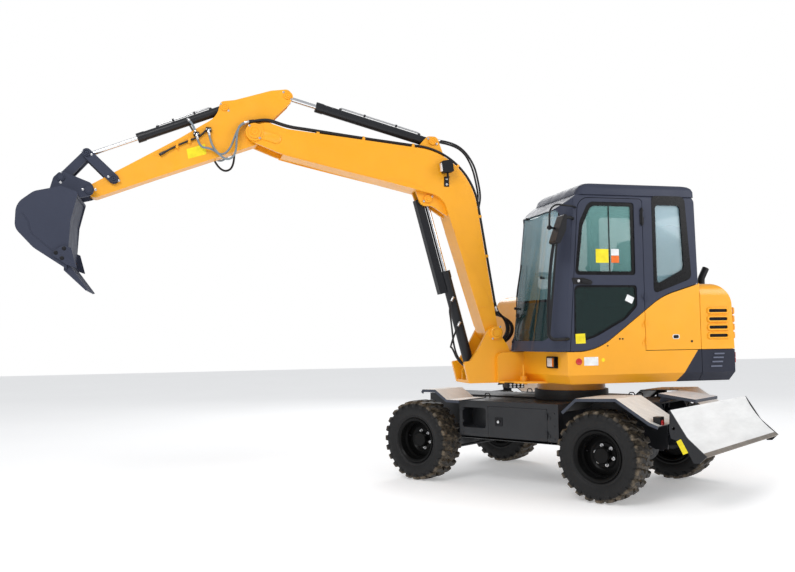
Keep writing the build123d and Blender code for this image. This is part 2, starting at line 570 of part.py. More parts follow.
EAR_IN, EAR_OUT = 160.0, 200.0
FOOT_PIN_RADIUS = 35.0
RAM_PIN_RADIUS = 25.0
BARREL_EYE_HALF = 50.0          # half width of every ram's eyes


def make_bracket():
    """Two thick side plates that carry the boom's foot, and lugs for the boom ram."""
    outline = [(480, UPPER_FLOOR - 5), (1188, UPPER_FLOOR - 5), (1238, 1250), (1170, 1258),
               (1074, 1390), (975, 1570), (FOOT[0], FOOT[1] + 75), (826, 1480), (768, 1392),
               (752, UPPER_SILL), (480, UPPER_SILL)]
    radii = [0, 12, 20, 30, 120, 40, 62, 60, 40, 8, 0]
    plate = side_slab(outline, EAR_IN, EAR_OUT, radii) + bar(FOOT, 66, EAR_IN, EAR_OUT + 18)
    pad = [(480, UPPER_FLOOR), (905, UPPER_FLOOR), (905, 1338), (480, 1338)]
    plate += side_slab(pad, EAR_OUT, BRACKET_HALF, [0, 0, 60, 0])
    base = BOOM_RAM[0]
    lug = side_slab([(960, UPPER_FLOOR - 5), (1170, UPPER_FLOOR - 5), (base[0] + 66, base[1]),
                     (base[0], base[1] + 66), (960, 1330)], BARREL_EYE_HALF + RUNNING,
                    BARREL_EYE_HALF + RUNNING + 30, [0, 12, 62, 62, 0])
    bracket = both_sides(plate + lug)
    bracket += side_slab([(935, UPPER_FLOOR), (965, UPPER_FLOOR), (965, 1340), (935, 1340)],
                         -EAR_IN, EAR_IN)
    bracket += block(480, 1188, -EAR_IN, EAR_IN, UPPER_FLOOR - 5, UPPER_FLOOR + 25)
    bracket += bar(FOOT, FOOT_PIN_RADIUS, -EAR_OUT - 30, EAR_OUT + 30)
    reach = BARREL_EYE_HALF + RUNNING + 30
    bracket += bar(base, RAM_PIN_RADIUS, -reach - 8, reach + 8)
    keep("boom_bracket", bracket & block(500, 1400, -400, 400, 900, 1700))


# ---------------------------------------------------------------- covers and engine
HOOD_WALL = 22.0
HOOD_TURN = 210.0               # rounding of the hood's tail
HOOD_AXIS_X = HOOD_FRONT - 25.0
COVER_HINGE_Y, CAB_HINGE_Y = -620.0, 450.0   # hood hinges, on the right cover and on the cab


def hood_form(inset):
    """The engine hood's outer form: tail turned about the slew axis, sides flat."""
    radius, top = TAIL_RADIUS - inset, HOOD_TOP - inset
    tail = revolve(Plane.XZ * area([(0, UPPER_SILL), (radius, UPPER_SILL), (radius - 22, top),
                                    (0, top)], [0, 0, HOOD_TURN - inset, 0]), Axis.Z)
    half = UPPER_HALF_WIDTH - inset
    width = cross_slab([(-half, UPPER_SILL), (half, UPPER_SILL), (half, top), (-half, top)],
                       -2000, HOOD_FRONT, [0, 0, 110 - inset, 110 - inset])
    return tail & width


EXHAUST = ((-1440.0, 200.0, 1900.0), (-1440.0, 200.0, 2080.0), (-1500.0, 200.0, 2190.0))
PIPE_RADIUS, PIPE_WALL, PIPE_BEND = 36.0, 4.0, 90.0
LOUVRES = [  # height above the sill, half width of the slot
    (135, 15), (215, 15), (295, 15), (375, 15),
]


def make_hood():
    """The rear engine hood, open below and ahead, with its louvre slots."""
    hood = hood_form(0) - (hood_form(HOOD_WALL) + Pos(HOOD_WALL, 0, 0) * hood_form(HOOD_WALL))
    hood -= block(-1700, 0, -1000, 1000, UPPER_SILL - 1, UPPER_SILL + HOOD_LIFT)
    for rise, half in LOUVRES:
        slot = block(-1700, -1300, -150, 150, UPPER_SILL + rise - half, UPPER_SILL + rise + half)
        for turn in (-26, 26):
            hood -= Rot(0, 0, turn) * slot
    hood += lying_hinge(HOOD_AXIS_X, HOOD_TOP, -1, (COVER_HINGE_Y, CAB_HINGE_Y))[1]
    keep("engine_hood", hood)
    pipe = tube(EXHAUST, PIPE_RADIUS, PIPE_BEND) - hood_form(0)
    past = [EXHAUST[0], EXHAUST[1], tuple(2 * b - a for a, b in zip(EXHAUST[1], EXHAUST[2]))]
    keep("exhaust_pipe", pipe - tube(past, PIPE_RADIUS - PIPE_WALL, PIPE_BEND))
    keep("engine_block", block(-1340, -960, -380, 380, UPPER_FLOOR + FLOOR_PLATE, 1700))


CAB_BREAK = (-520.0, 1869.5)    # where the cab's underside starts down towards the sill
CAB_TOE = (189.0, 1352.0)
CAB_UNDERSIDE = 1352.0


def swoop_outline(drop):
    """The cab's side outline, its lower edge lowered by drop."""
    corners = [(900, CAB_UNDERSIDE - drop), (900, 2394), (620, 2620), (290, CAB_ROOF),
               (CAB_REAR + 20, CAB_ROOF), (CAB_REAR - drop, 1985 - drop),
               (CAB_BREAK[0], CAB_BREAK[1] - drop * 1.1), (CAB_TOE[0], CAB_TOE[1] - drop)]
    return corners, [0, 0, 0, 150, 110, 0, 700, 600]


def cab_plan(z, inset):
    """Plan of the cab at one height: flat sides, bowed front with rounded corners."""
    rise = z - CAB_UNDERSIDE
    side_x = 490 - 0.0737 * rise - inset
    front_x = 748 - 0.128 * rise - inset
    left, right, rear = UPPER_HALF_WIDTH - inset, CAB_RIGHT + inset, CAB_REAR + inset
    middle = (left + right) / 2
    bow = 20.0
    near, far = left - 270 + inset, right + 270 - inset
    corner_x = side_x + 0.73 * (front_x - bow - side_x)
    edges = [
        Line((rear, right), (rear, left)),
        Line((rear, left), (side_x, left)),
        ThreePointArc((side_x, left), (corner_x, left - 85), (front_x - bow, near)),
        ThreePointArc((front_x - bow, near), (front_x, middle), (front_x - bow, far)),
        ThreePointArc((front_x - bow, far), (corner_x, right + 85), (side_x, right)),
        Line((side_x, right), (rear, right)),
    ]
    return Plane.XY.offset(z) * make_face([line.edge() for line in edges])


def cab_form(inset):
    """The cab's outside, or its inside when inset by the wall."""
    shell = loft([cab_plan(1300, inset), cab_plan(2900, inset)], ruled=True)
    corners, radii = swoop_outline(0)
    if inset:
        centre = side_slab(corners, -100, 1000, radii)
        lifted = Pos(0, 0, inset) * centre
        lowered = Pos(0, 0, -inset) * centre
        profile = lifted & lowered & (Pos(-inset, 0, 0) * centre)
    else:
        profile = side_slab(corners, -100, 1000, radii)
    left, right = UPPER_HALF_WIDTH - inset, CAB_RIGHT + inset
    top = CAB_ROOF - inset
    section = cross_slab([(right, 1200), (left, 1200), (left, top), (right, top)], -1000, 1000,
                         [0, 0, 90 - inset * 0.8, 90 - inset * 0.8])
    return shell & profile & section


DOOR_REAR = -330.0
DOOR_TOP = 2790.0
DOOR_HINGES = (1850.0, 2640.0)  # heights of the cab door's hinges


def door_outline(clear):
    """The cab door's leaf seen from the side, shrunk by clear."""
    return [(DOOR_REAR + clear, 1200), (455 - clear + 11, 1200), (345 - clear, DOOR_TOP - clear),
            (DOOR_REAR + clear, DOOR_TOP - clear)]


SIDE_WINDOWS = {  # outline in x and z, corner radius
    "door_upper": ([(-240, 2060), (388, 2060), (330, 2560), (235, 2750), (-240, 2750)],
                   [30, 40, 150, 90, 30]),
    "door_lower": ([(-250, 1965), (-250, 1765), (-120, 1640), (190, 1480), (410, 1420),
                    (398, 1965)], [30, 60, 250, 400, 50, 50]),
    "rear_left": ([(-440, 2790), (-775, 2790), (-825, 2045), (-440, 1915)], [50, 60, 60, 60]),
    "right_front": ([(-260, 2760), (-260, 1960), (370, 1960), (290, 2760)], 60),
    "right_rear": ([(-350, 2760), (-350, 1990), (-800, 2060), (-770, 2760)], 60),
}
FRONT_WINDOW = [(50, 1450), (870, 1450), (870, 2680), (50, 2680)]
REAR_WINDOW = [(90, 2080), (810, 2080), (810, 2700), (90, 2700)]
ROOF_WINDOW = [(-150, 180), (200, 180), (200, 720), (-150, 720)]


def pane(name, y_low, y_high, gap=0.0):
    """A side window's opening, or its glass when gap is above zero."""
    corners, radii = SIDE_WINDOWS[name]
    face = Plane.XZ.offset(-y_high) * area(corners, radii)
    if gap:
        face = offset(face, -gap)
    return extrude(face, amount=y_high - y_low)


def make_cab():
    """Hollow cab in welded sections, its glass, its door and its fittings."""
    left = UPPER_HALF_WIDTH
    outer, inner = cab_form(0), cab_form(CAB_WALL)
    shell = outer - inner
    door_zone = side_slab(door_outline(0), left - CAB_WALL, left + 50, [0, 0, 120, 40])
    frame = shell - door_zone
    frame -= pane("rear_left", left - CAB_WALL - 5, left + 5)
    for name in ("right_front", "right_rear"):
        frame -= pane(name, CAB_RIGHT - 5, CAB_RIGHT + CAB_WALL + 5)
    front_hole = cross_slab(FRONT_WINDOW, 380, 900, 70)
    rear_hole = cross_slab(REAR_WINDOW, CAB_REAR - 5, CAB_REAR + CAB_WALL + 5, 50)
    roof_hole = plan_slab(ROOF_WINDOW, CAB_ROOF - CAB_WALL - 5, CAB_ROOF + 5, 60)
    frame -= front_hole + rear_hole + roof_hole
    fixed, moving = barrel_hinge(DOOR_REAR + SEAM / 2, left, 1, 1, DOOR_HINGES)
    fixed += lying_hinge(HOOD_AXIS_X, HOOD_TOP, -1, (CAB_HINGE_Y,))[0]
    fixed += block(HOOD_FRONT + SEAM, CAB_REAR + 2, CAB_HINGE_Y - HINGE_HALF, CAB_HINGE_Y,
                   HOOD_TOP + 1, HOOD_TOP + 45)
    keep("cab_frame", frame + fixed)
    low = UPPER_FLOOR + FLOOR_PLATE
    keep("cab_mounts", *[post(x, y, 34, low, CAB_UNDERSIDE) for x in (250, 375) for y in (300, 780)])

    leaf = side_slab(door_outline(SEAM), left - CAB_WALL + SEAM, left, [0, 0, 114, 36]) & outer
    for name in ("door_upper", "door_lower"):
        leaf -= pane(name, left - CAB_WALL, left + 5)
    keep("cab_door", leaf + moving)
    keep("door_glass", *[pane(name, left - 22, left - 16, GLASS_GAP)
                         for name in ("door_upper", "door_lower")])

    skin = cab_form(12) - cab_form(18)
    front_glass = skin & cross_slab([(50 + GLASS_GAP, 1450 + GLASS_GAP), (870 - GLASS_GAP, 1450 + GLASS_GAP),
                                     (870 - GLASS_GAP, 2680 - GLASS_GAP), (50 + GLASS_GAP, 2680 - GLASS_GAP)],
                                    380, 900, 70 - GLASS_GAP)
    rear_glass = cross_slab([(y + (GLASS_GAP if y < 400 else -GLASS_GAP),
                              z + (GLASS_GAP if z < 2400 else -GLASS_GAP)) for y, z in REAR_WINDOW],
                            CAB_REAR + 16, CAB_REAR + 22, 50 - GLASS_GAP)
    roof_glass = plan_slab([(x + (GLASS_GAP if x < 0 else -GLASS_GAP),
                             y + (GLASS_GAP if y < 400 else -GLASS_GAP)) for x, y in ROOF_WINDOW],
                           CAB_ROOF - 22, CAB_ROOF - 16, 60 - GLASS_GAP)
    keep("cab_glass", front_glass, rear_glass, roof_glass,
         pane("rear_left", left - 22, left - 16, GLASS_GAP),
         pane("right_front", CAB_RIGHT + 16, CAB_RIGHT + 22, GLASS_GAP),
         pane("right_rear", CAB_RIGHT + 16, CAB_RIGHT + 22, GLASS_GAP))


RAIL_Y = 1000.0
RAIL_RADIUS = 15.0
RAIL = [  # x, y, z from the windscreen pillar's top round to its foot
    (375, 900, 2586), (450, RAIL_Y, 2586), (565, RAIL_Y, 2583), (634, RAIL_Y, 2317),
    (668, RAIL_Y, 2097), (689, RAIL_Y, 1824), (697, RAIL_Y, 1465), (560, RAIL_Y, 1465),
    (440, 900, 1468),
]
MIRROR_ARM = [(340, 900, 2691), (433, RAIL_Y, 2691), (670, RAIL_Y + 30, 2703),
              (694, RAIL_Y + 60, 2480)]
MIRROR_ARM_RADIUS = 9.0
MIRROR = ([(595, 2596), (691, 2333), (641, 2324), (579, 2445), (565, 2583)], [20, 18, 15, 60, 12])
MIRROR_Y = (1022.0, 1165.0)


def make_rail():
    """The grab rail beside the windscreen, and the mirror on it."""
    body = cab_form(0)
    keep("handrail", tube(RAIL, RAIL_RADIUS) - body)
    arm = tube(MIRROR_ARM, MIRROR_ARM_RADIUS) - body
    knuckle = Pos(*MIRROR_ARM[-1]) * Sphere(22)
    knuckle += rod(MIRROR_ARM[-1], (620, RAIL_Y + 60, 2470), 10)
    head = side_slab(MIRROR[0], *MIRROR_Y, MIRROR[1])
    clamp = bar((600, 2450), 12, RAIL_Y + RAIL_RADIUS + SEAT_GAP, MIRROR_Y[0] + 5)
    keep("mirror", arm + knuckle + head + clamp)


SEAT_LEVEL = 1800.0             # underside of the seat cushion


def make_interior():
    """Seat on its base, consoles with levers, and the steering column."""
    floor = CAB_UNDERSIDE + CAB_WALL
    cushion = side_slab([(-290, SEAT_LEVEL), (200, SEAT_LEVEL), (200, SEAT_LEVEL + 100),
                         (-290, SEAT_LEVEL + 90)], 210, 690, [10, 20, 40, 10])
    low, high = (-420.0, SEAT_LEVEL + 95), (-520.0, SEAT_LEVEL + 660)
    back = side_slab([(low[0] + 120, low[1]), low, high, (high[0] + 90, high[1] + 20)], 220, 680,
                     [20, 30, 40, 40])
    keep("operator_seat", cushion, back)
    base = block(-60, 160, 280, 620, floor - 10, SEAT_LEVEL - SEAT_GAP)
    # the back's carrier, up from the seat base behind the cushion
    base += side_slab([(low[0] - SEAT_GAP, SEAT_LEVEL), (low[0] - 14, SEAT_LEVEL),
                       (high[0] - 14, high[1] - 60), (high[0] + 10.6 - SEAT_GAP, high[1] - 60)],
                      390, 510)
    base += block(low[0] - 14, 0, 390, 510, SEAT_LEVEL - 30, SEAT_LEVEL - SEAT_GAP)
    base += block(low[0] - 14, low[0] - SEAT_GAP, 390, 510, SEAT_LEVEL - 30, SEAT_LEVEL + 1)
    consoles = block(-250, 180, 130, 200, 1790, 1990) + block(-250, 180, 700, 770, 1790, 1990)
    arms = block(-60, 60, 190, 710, 1770, SEAT_LEVEL - SEAT_GAP)
    sticks = [rod((120, y, 1990), (150, y, 2130), 12) + Pos(152, y, 2140) * Sphere(26)
              for y in (165, 735)]
    room = cab_form(CAB_WALL + 0.3)
    keep("seat_base", (base + arms + consoles + sticks[0] + sticks[1]) & room)
    column = rod((470, 450, floor - 20), (380, 450, 2050), 32)
    tilt = Pos(375, 450, 2075) * Rot(0, -10, 0)
    wheel = tilt * (Torus(170, 13) + Box(330, 26, 16) + Cylinder(38, 50))
    keep("steering_column", (column + wheel) & room)


def make_covers():
    """The hinged left side door, the fixed panel under the cab door and the right-hand cover."""
    left = UPPER_HALF_WIDTH
    corners, radii = swoop_outline(SEAM + 2)
    cab_zone = side_slab(corners, 800, 1000, radii)
    sheet = block(HOOD_FRONT + SEAM, 476, left - 20, left, UPPER_SILL, 1985) - cab_zone
    gap = block(DOOR_REAR, DOOR_REAR + SEAM, 800, 1000, 1300, 2000)
    pieces = (sheet - gap).solids().sort_by(Axis.X)
    leaf = pieces[0] - block(-1000, 500, 800, 1000, 1300, UPPER_SILL + SEAM)
    fixed, moving = barrel_hinge(DOOR_REAR + SEAM / 2, left, 1, -1, (1430, 1600))
    keep("left_side_door", leaf + moving)
    keep("left_sill_panel", pieces[-1] + fixed)

    form = [(520, UPPER_SILL), (505, 1700), (400, 1925), (HOOD_FRONT + SEAM, 1975),
            (HOOD_FRONT + SEAM, UPPER_SILL)]
    cover_in = CAB_RIGHT - 20
    outside = side_slab(form, -left, cover_in, [0, 200, 160, 0, 0])
    outside &= cross_slab([(-left, 1300), (cover_in, 1300), (cover_in, 2000), (-left, 2000)],
                          -1000, 600, [0, 0, 0, 110])
    inside = Pos(0, 0, -20) * outside & Pos(-20, 0, 0) * outside
    inside &= block(-1000, 600, -left + 20, cover_in - 20, 1300, 2000)
    inside += block(HOOD_FRONT, HOOD_FRONT + 60, -left + 20, cover_in - 20, 1300, 1950)
    cover = outside - inside
    hatch = [(HOOD_FRONT + 2 * SEAM, UPPER_SILL + SEAM), (DOOR_REAR, UPPER_SILL + SEAM),
             (DOOR_REAR, 1820), (HOOD_FRONT + 2 * SEAM, 1820)]
    cover -= side_slab([(-1000, 1300), (DOOR_REAR + SEAM, 1300), (DOOR_REAR + SEAM, 1826), (-1000, 1826)],
                       -left - 5, -left + 25)
    fixed, moving = barrel_hinge(DOOR_REAR + SEAM / 2, -left, -1, -1, (1450, 1720))
    fixed += lying_hinge(HOOD_AXIS_X, HOOD_TOP, -1, (COVER_HINGE_Y,))[0]
    fixed += block(HOOD_FRONT + SEAM, HOOD_FRONT + 45, COVER_HINGE_Y - HINGE_HALF, COVER_HINGE_Y,
                   1960, HOOD_TOP + HINGE_LEAF)
    keep("right_cover", cover + fixed)
    keep("right_side_door", side_slab(hatch, -left, -left + 20, 8) + moving)


# ---------------------------------------------------------------- rams
RAMS = {  # pins, outer radius, rod radius, barrel length, piston from base, eye radius, half widths
    "boom_ram": (BOOM_RAM, 52, 24, 1020, 625, 52, 50, 50),
    "arm_ram": (ARM_RAM, 47, 24, 1200, 250, 46, 50, 50),
    "bucket_ram": (BUCKET_RAM, 42, 20, 850, 420, 40, 46, 36),
    "blade_ram": (BLADE_RAM, 36, 18, 360, 60, 30, 36, 36),
}
GUARD_START = 0.46              # of the boom ram's length
GUARD_HALF, GUARD_PLATE = 50.0, 6.0
GUARD_NEAR, GUARD_FAR = 44.0, 118.0   # from the ram's axis
RAM_WALL = 9.0
GLAND = 30.0


def make_ram(name):
    """A barrel with its base eye, and a rod with its piston and tip eye."""
    (base, tip), outer, rod_radius, barrel_end, piston, eye, base_half, tip_half = RAMS[name]
    run = Vector(tip[0] - base[0], tip[1] - base[1])
    pin = RAM_PIN_RADIUS if eye > 40 else 18
    along = Plane(origin=(0, 0, 0), x_dir=(0, 1, 0), z_dir=(1, 0, 0))

    def round_bar(radius, start, end):
        return along.offset(start) * Cylinder(radius, end - start,
                                              align=(Align.CENTER, Align.CENTER, Align.MIN))

    bore = outer - RAM_WALL
    barrel = round_bar(outer, eye * 0.7, barrel_end - GLAND)
    barrel += round_bar(outer + 4, barrel_end - 75, barrel_end)
    barrel += bar((0, 0), eye, -base_half, base_half)
    barrel -= round_bar(bore, eye + 12, barrel_end - GLAND)
    barrel -= round_bar(rod_radius + PIN_GAP, barrel_end - GLAND - 1, barrel_end + 1)
    barrel -= bar((0, 0), pin + PIN_GAP, -base_half - 1, base_half + 1)
    shaft = round_bar(rod_radius, piston, run.length - eye * 0.7)
    shaft += round_bar(bore - PIN_GAP, piston, piston + 28)
    shaft += bar((run.length, 0), eye, -tip_half, tip_half)
    shaft -= bar((run.length, 0), pin + PIN_GAP, -tip_half - 1, tip_half + 1)
    if name == "boom_ram":
        start, end = GUARD_START * run.length, run.length + 20
        guard = block(start, end, -GUARD_HALF, GUARD_HALF, -GUARD_FAR, -GUARD_FAR + GUARD_PLATE)
        for y in (-GUARD_HALF, GUARD_HALF - GUARD_PLATE):
            guard += block(start, end, y, y + GUARD_PLATE, -GUARD_FAR, -GUARD_NEAR)
        shaft += guard
    place = Pos(base[0], 0, base[1]) * Rot(0, -degrees(atan2(run.Y, run.X)), 0)
    return place * barrel, place * shaft


def make_rams():
    """All four hydraulic rams."""
    for name in RAMS:
        barrel, shaft = make_ram(name)
        turn = on_chassis if name == "blade_ram" else (lambda shape: shape)
        keep(f"{name}_barrel", turn(barrel))
        keep(f"{name}_rod", turn(shaft))


# ---------------------------------------------------------------- boom, arm and bucket
BOOM_OUTLINE = [  # corner, rounding
    ((838, 1500), 70), ((965, 1480), 70), ((1402, 2890), 200), ((3024, 3262), 500),
    ((3300, 3370), 60), ((3345, 3500), 60), ((3130, 3550), 120), ((2950, 3495), 300),
    ((1130, 3318), 660),
]
STIFFENER = ([(2060, 3041), (1760, 3024), (1610, 2965), (1410, 2784), (1286, 2537), (950, 1891),
              (925, 1801), (968, 1791), (1150, 1791), (1600, 2600), (2060, 2900)],
             [0, 200, 150, 250, 500, 60, 25, 0, 0, 0, 0])
STIFFENER_PLATE = 6.0
HOSE_RISE = 26.0                # hose axes above the boom's back
HOSE_RADIUS = 12.0
HOSE_Y = [(22.0, 102.0), (104.0, 134.0)]   # along the back, and beside the arm at the fork
HOSE_LINE = [  # x, z, share of the way out to the fork
    (865.6, 1836, 0), (1107.5, 3342, 0), (2250, 3453, 0), (2750, 3502, 1), (2930, 3519, 1),
    (3131, 3580, 1), (3262, 3556, 1),
]
HOSE_BEND = 686.0               # round the boom's own bend
UNION_LONG, UNION_WALL = 45.0, 3.0
SADDLES = [  # x, z on the boom's back, lean of the back in degrees, half width
    (966.5, 2300, 80.9, 122), (1030.7, 2700, 80.9, 122), (1248.9, 3191.5, 43.2, 122),
    (1700, 3373.4, 5.5, 122), (2200, 3422.1, 5.5, 122), (2650, 3465.8, 5.5, 134),
]
LAMP_BODY = [(1440, 3228), (1330, 3249), (1314, 3127), (1424, 3112)]
LAMP_Y = (158.0, 232.0)
FORK_START = 2985.0             # the boom's tip is a fork ahead of here
FORK_CHEEK = 30.0
EYE_ROOM = 132.0                # room for the boom ram's eye between its lugs


def make_boom():
    """The cranked boom: a hollow box with foot boss, forked tip and ram lugs."""
    half = BOOM_WIDTH / 2
    corners, radii = zip(*BOOM_OUTLINE)
    face = Plane.XZ.offset(-half) * area(corners, list(radii))
    inner = Plane.XZ.offset(-half + BOX_PLATE) * offset(area(corners, list(radii)), -BOX_PLATE)
    boom = extrude(face, amount=BOOM_WIDTH)
    hollow = extrude(inner, amount=BOOM_WIDTH - 2 * BOX_PLATE)
    hollow -= bar(FOOT, 90, -half, half) + block(FORK_START - 12, 3500, -half, half, 3000, 3700)
    boom -= hollow
    boom -= block(FORK_START, 3500, -half + FORK_CHEEK, half - FORK_CHEEK, 3000, 3800)
    boom += both_sides(bar(BOOM_TIP, 84, half - FORK_CHEEK, half + 14))
    boom += bar(BOOM_TIP, FOOT_PIN_RADIUS, -half - 20, half + 20)
    boom += bar(FOOT, 66, -EAR_IN + RUNNING, EAR_IN - RUNNING)
    boom -= bar(FOOT, FOOT_PIN_RADIUS + PIN_GAP, -200, 200)
    # lugs for the boom ram's rod, open between them so that the rod's eye can shift
    lug_in, lug_out = BARREL_EYE_HALF + RUNNING, BARREL_EYE_HALF + RUNNING + 28
    eye = BOOM_RAM[1]
    lug = side_slab([(1300, 2640), (1345, 2700), (1500, eye[1] - 70), (eye[0] + 70, eye[1] - 70),
                     (1690, 3010), (1500, 3060)], lug_in, lug_out, [0, 40, 60, 66, 0, 0])
    boom += both_sides(lug + bar(eye, 44, lug_in, lug_out + 10))
    boom -= bar((eye[0], eye[1] + 10), EYE_ROOM, -lug_in, lug_in)
    # lugs on the bend for the arm ram's base
    base = ARM_RAM[0]
    seat = side_slab([(base[0] - 130, 3280), (base[0] - 50, base[1] + 50), (base[0] + 50, base[1] + 50),
                      (base[0] + 170, 3370), (base[0] + 60, 3330)], lug_in, lug_out, [0, 50, 50, 0, 0])
    boom += both_sides(seat) + bar(base, RAM_PIN_RADIUS, -lug_out - 12, lug_out + 12)
    shape = side_slab(corners, half, half + STIFFENER_PLATE, list(radii))
    boom += both_sides(shape & side_slab(STIFFENER[0], half, half + STIFFENER_PLATE, STIFFENER[1]))
    # hoses along the back, in saddles
    saddles = Compound([])
    for x, z, lean, wide in SADDLES:
        saddles += Pos(x, 0, z) * Rot(0, -lean, 0) * block(-14, 14, -wide, wide, -6, HOSE_RISE)
    hoses = Compound([])
    for near, far in HOSE_Y:
        line = [(x, near + share * (far - near), z) for x, z, share in HOSE_LINE]
        saddles -= both_sides(tube(line, HOSE_RADIUS + SEAT_GAP, HOSE_BEND))
        hose = tube(line, HOSE_RADIUS, HOSE_BEND)
        for end, before in ((line[0], line[1]), (line[-1], line[-2])):
            out = (Vector(*end) - Vector(*before)).normalized() * UNION_LONG
            hose += rod(end, tuple(Vector(*end) + out), HOSE_RADIUS + UNION_WALL)
        hoses += both_sides(hose)
    keep("boom_hoses", hoses)
    keep("boom", boom + saddles)

    lamp = side_slab(LAMP_BODY, *LAMP_Y, 14)
    lamp += block(1340, 1390, half, half + 6, 2990, 3090) + block(1352, 1378, half, 200, 3070, 3082)
    lamp += bar((1368, 3080), 9, half, 200) + block(1360, 1376, 180, 200, 3075, 3135)
    keep("work_lamp", lamp)


ARM_OUTLINE = [
    ((2868, 3830), 50), ((2925, 3745), 60), ((3100, 3567), 150), ((3215, 3350), 60),
    ((4118, 3012), 400), ((4690, 2790), 60), ((4790, 2870), 60), ((4493, 3046), 200),
    ((3934, 3376), 500), ((3590, 3600), 200), ((3570, 3740), 50), ((3430, 3762), 100),
    ((3090, 3872), 120), ((2930, 3895), 55),
]


def make_arm():
    """The digging arm: a hollow box with lugs for both of its rams."""
    half = ARM_WIDTH / 2
    corners, radii = zip(*ARM_OUTLINE)
    outline = area(corners, list(radii))
    arm = extrude(Plane.XZ.offset(-half) * outline, amount=ARM_WIDTH)
    hollow = extrude(Plane.XZ.offset(-half + BOX_PLATE) * offset(outline, -BOX_PLATE),
                     amount=ARM_WIDTH - 2 * BOX_PLATE)
    hollow -= bar(BOOM_TIP, 80, -half, half) + bar(ARM_TIP, 75, -half, half)
    hollow -= bar(ROCKER_PIN, 60, -half, half)
    slot_rear = block(2800, 3080, -half, half, 3600, 4000)
    slot_mid = block(3400, 3740, -half, half, 3530, 3900)
    arm -= hollow - slot_rear - slot_mid
    arm -= block(2800, 3060, -BARREL_EYE_HALF - RUNNING, BARREL_EYE_HALF + RUNNING, 3600, 4000)
    gap = 46 + RUNNING
    arm -= block(3440, 3760, -gap, gap, 3560, 3900)
    boss = BOOM_WIDTH / 2 - FORK_CHEEK - RUNNING
    arm += bar(BOOM_TIP, 72, -boss, boss)
    arm -= bar(BOOM_TIP, FOOT_PIN_RADIUS + PIN_GAP, -200, 200)
    arm -= bar(ARM_TIP, 30 + PIN_GAP, -200, 200)
    arm += bar(ROCKER_PIN, 24, -half - 34, half + 34)
    arm += bar(BUCKET_RAM[0], 18, -half - 8, half + 8)
    keep("arm", arm)


ROCKER_IN, ROCKER_OUT = 86.0, 106.0
EAR_BUCKET_IN, EAR_BUCKET_OUT = 112.0, 138.0


def make_linkage():
    """Rocker plates on the arm and the link down to the bucket."""
    plate = hull_plate(ROCKER_PIN, 45, ROCKER_TOP, 42, ROCKER_IN, ROCKER_OUT)
    plate -= bar(ROCKER_PIN, 24 + PIN_GAP, 0, 200)
    keep("rocker", both_sides(plate + bar(ROCKER_TOP, 24, ROCKER_IN - 4, ROCKER_OUT + 8)))
    prong = hull_plate(LINK_PIN, 42, ROCKER_TOP, 38, 42, 74)
    link = both_sides(prong) + bar(LINK_PIN, 42, -108, 108)
    middle = [(LINK_PIN[0] - 60, LINK_PIN[1] + 65), (LINK_PIN[0] - 120, LINK_PIN[1] + 130)]
    link += hull_plate(middle[0], 22, middle[1], 22, -44, 44)
    link -= bar(LINK_PIN, 24 + PIN_GAP, -200, 200)
    keep("bucket_link", link)


def make_bucket():
    """The bucket: wrapper, side plates, cutting edge with teeth, and two ears."""
    half = BUCKET_WIDTH / 2
    outer = [(4880, 2130), (5149, 2312), (5300, 2480), (5290, 2690), (5150, 2800), (4930, 2850),
             (4790, 2800), (4850, 2560)]
    radii = [0, 200, 120, 150, 120, 60, 30, 60]
    outside = side_slab(outer, -half, half, radii)
    inside = offset(area(outer, radii), -14)
    bite = extrude(Plane.XZ.offset(-half + 16) * inside, amount=2 * half - 32)
    mouth = side_slab([(4700, 2100), (4872, 2150), (4860, 2560), (4812, 2770), (4700, 2790)],
                      -half + 16, half - 16)
    shell = outside - bite - mouth
    teeth = []
    for y in (-300, -150, 0, 150, 300):
        teeth.append(side_slab([(4905, 2165), (4872, 2185), (4705, 1950), (4725, 1945), (4905, 2120)],
                               y - 28, y + 28))
    for tooth in teeth:
        shell += tooth
    ear = side_slab([(4930, 2820), (ARM_TIP[0] + 90, 2780), (ARM_TIP[0] - 60, ARM_TIP[1] - 40),
                     (ARM_TIP[0] - 20, ARM_TIP[1] + 60), (LINK_PIN[0], LINK_PIN[1] + 62),
                     (LINK_PIN[0] + 62, LINK_PIN[1]), (5060, 2830)], EAR_BUCKET_IN, EAR_BUCKET_OUT,
                    [0, 0, 60, 60, 50, 50, 0])
    shell += both_sides(ear)
    for centre, radius in ((ARM_TIP, 30), (LINK_PIN, 24)):
        shell += bar(centre, radius, -EAR_BUCKET_OUT - 14, EAR_BUCKET_OUT + 14)
    keep("bucket", shell)


def build():
    """Make every node about the slew axis, and return the shift that centres the footprint."""
    for make in (make_wheels, make_axles, make_chassis, make_fenders, make_blade, make_platform,
                 make_bracket, make_hood, make_cab, make_rail, make_interior, make_covers, make_rams,
                 make_boom, make_arm, make_linkage, make_bucket):
        make()
    boxes = [shape.bounding_box() for shape in parts.values()]
    centre_x = (min(box.min.X for box in boxes) + max(box.max.X for box in boxes)) / 2
    centre_y = (min(box.min.Y for box in boxes) + max(box.max.Y for box in boxes)) / 2
    return Vector(-round(centre_x), -round(centre_y), 0)


def main():
    """Build the machine and write one file for each node."""
    shift = build()
    os.makedirs("parts", exist_ok=True)
    for name, shape in parts.items():
        export_step(Pos(shift) * shape, f"parts/{name}.step")


if __name__ == "__main__":
    main()
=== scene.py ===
"""Finishes, trim, free hoses and seat of a wheeled excavator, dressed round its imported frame."""
import sys
import json
import logging
from dataclasses import dataclass
from enum import Enum
from math import cos, pi, radians, sin
from typing import Sequence

import bmesh
import bpy
from mathutils import Matrix, Vector


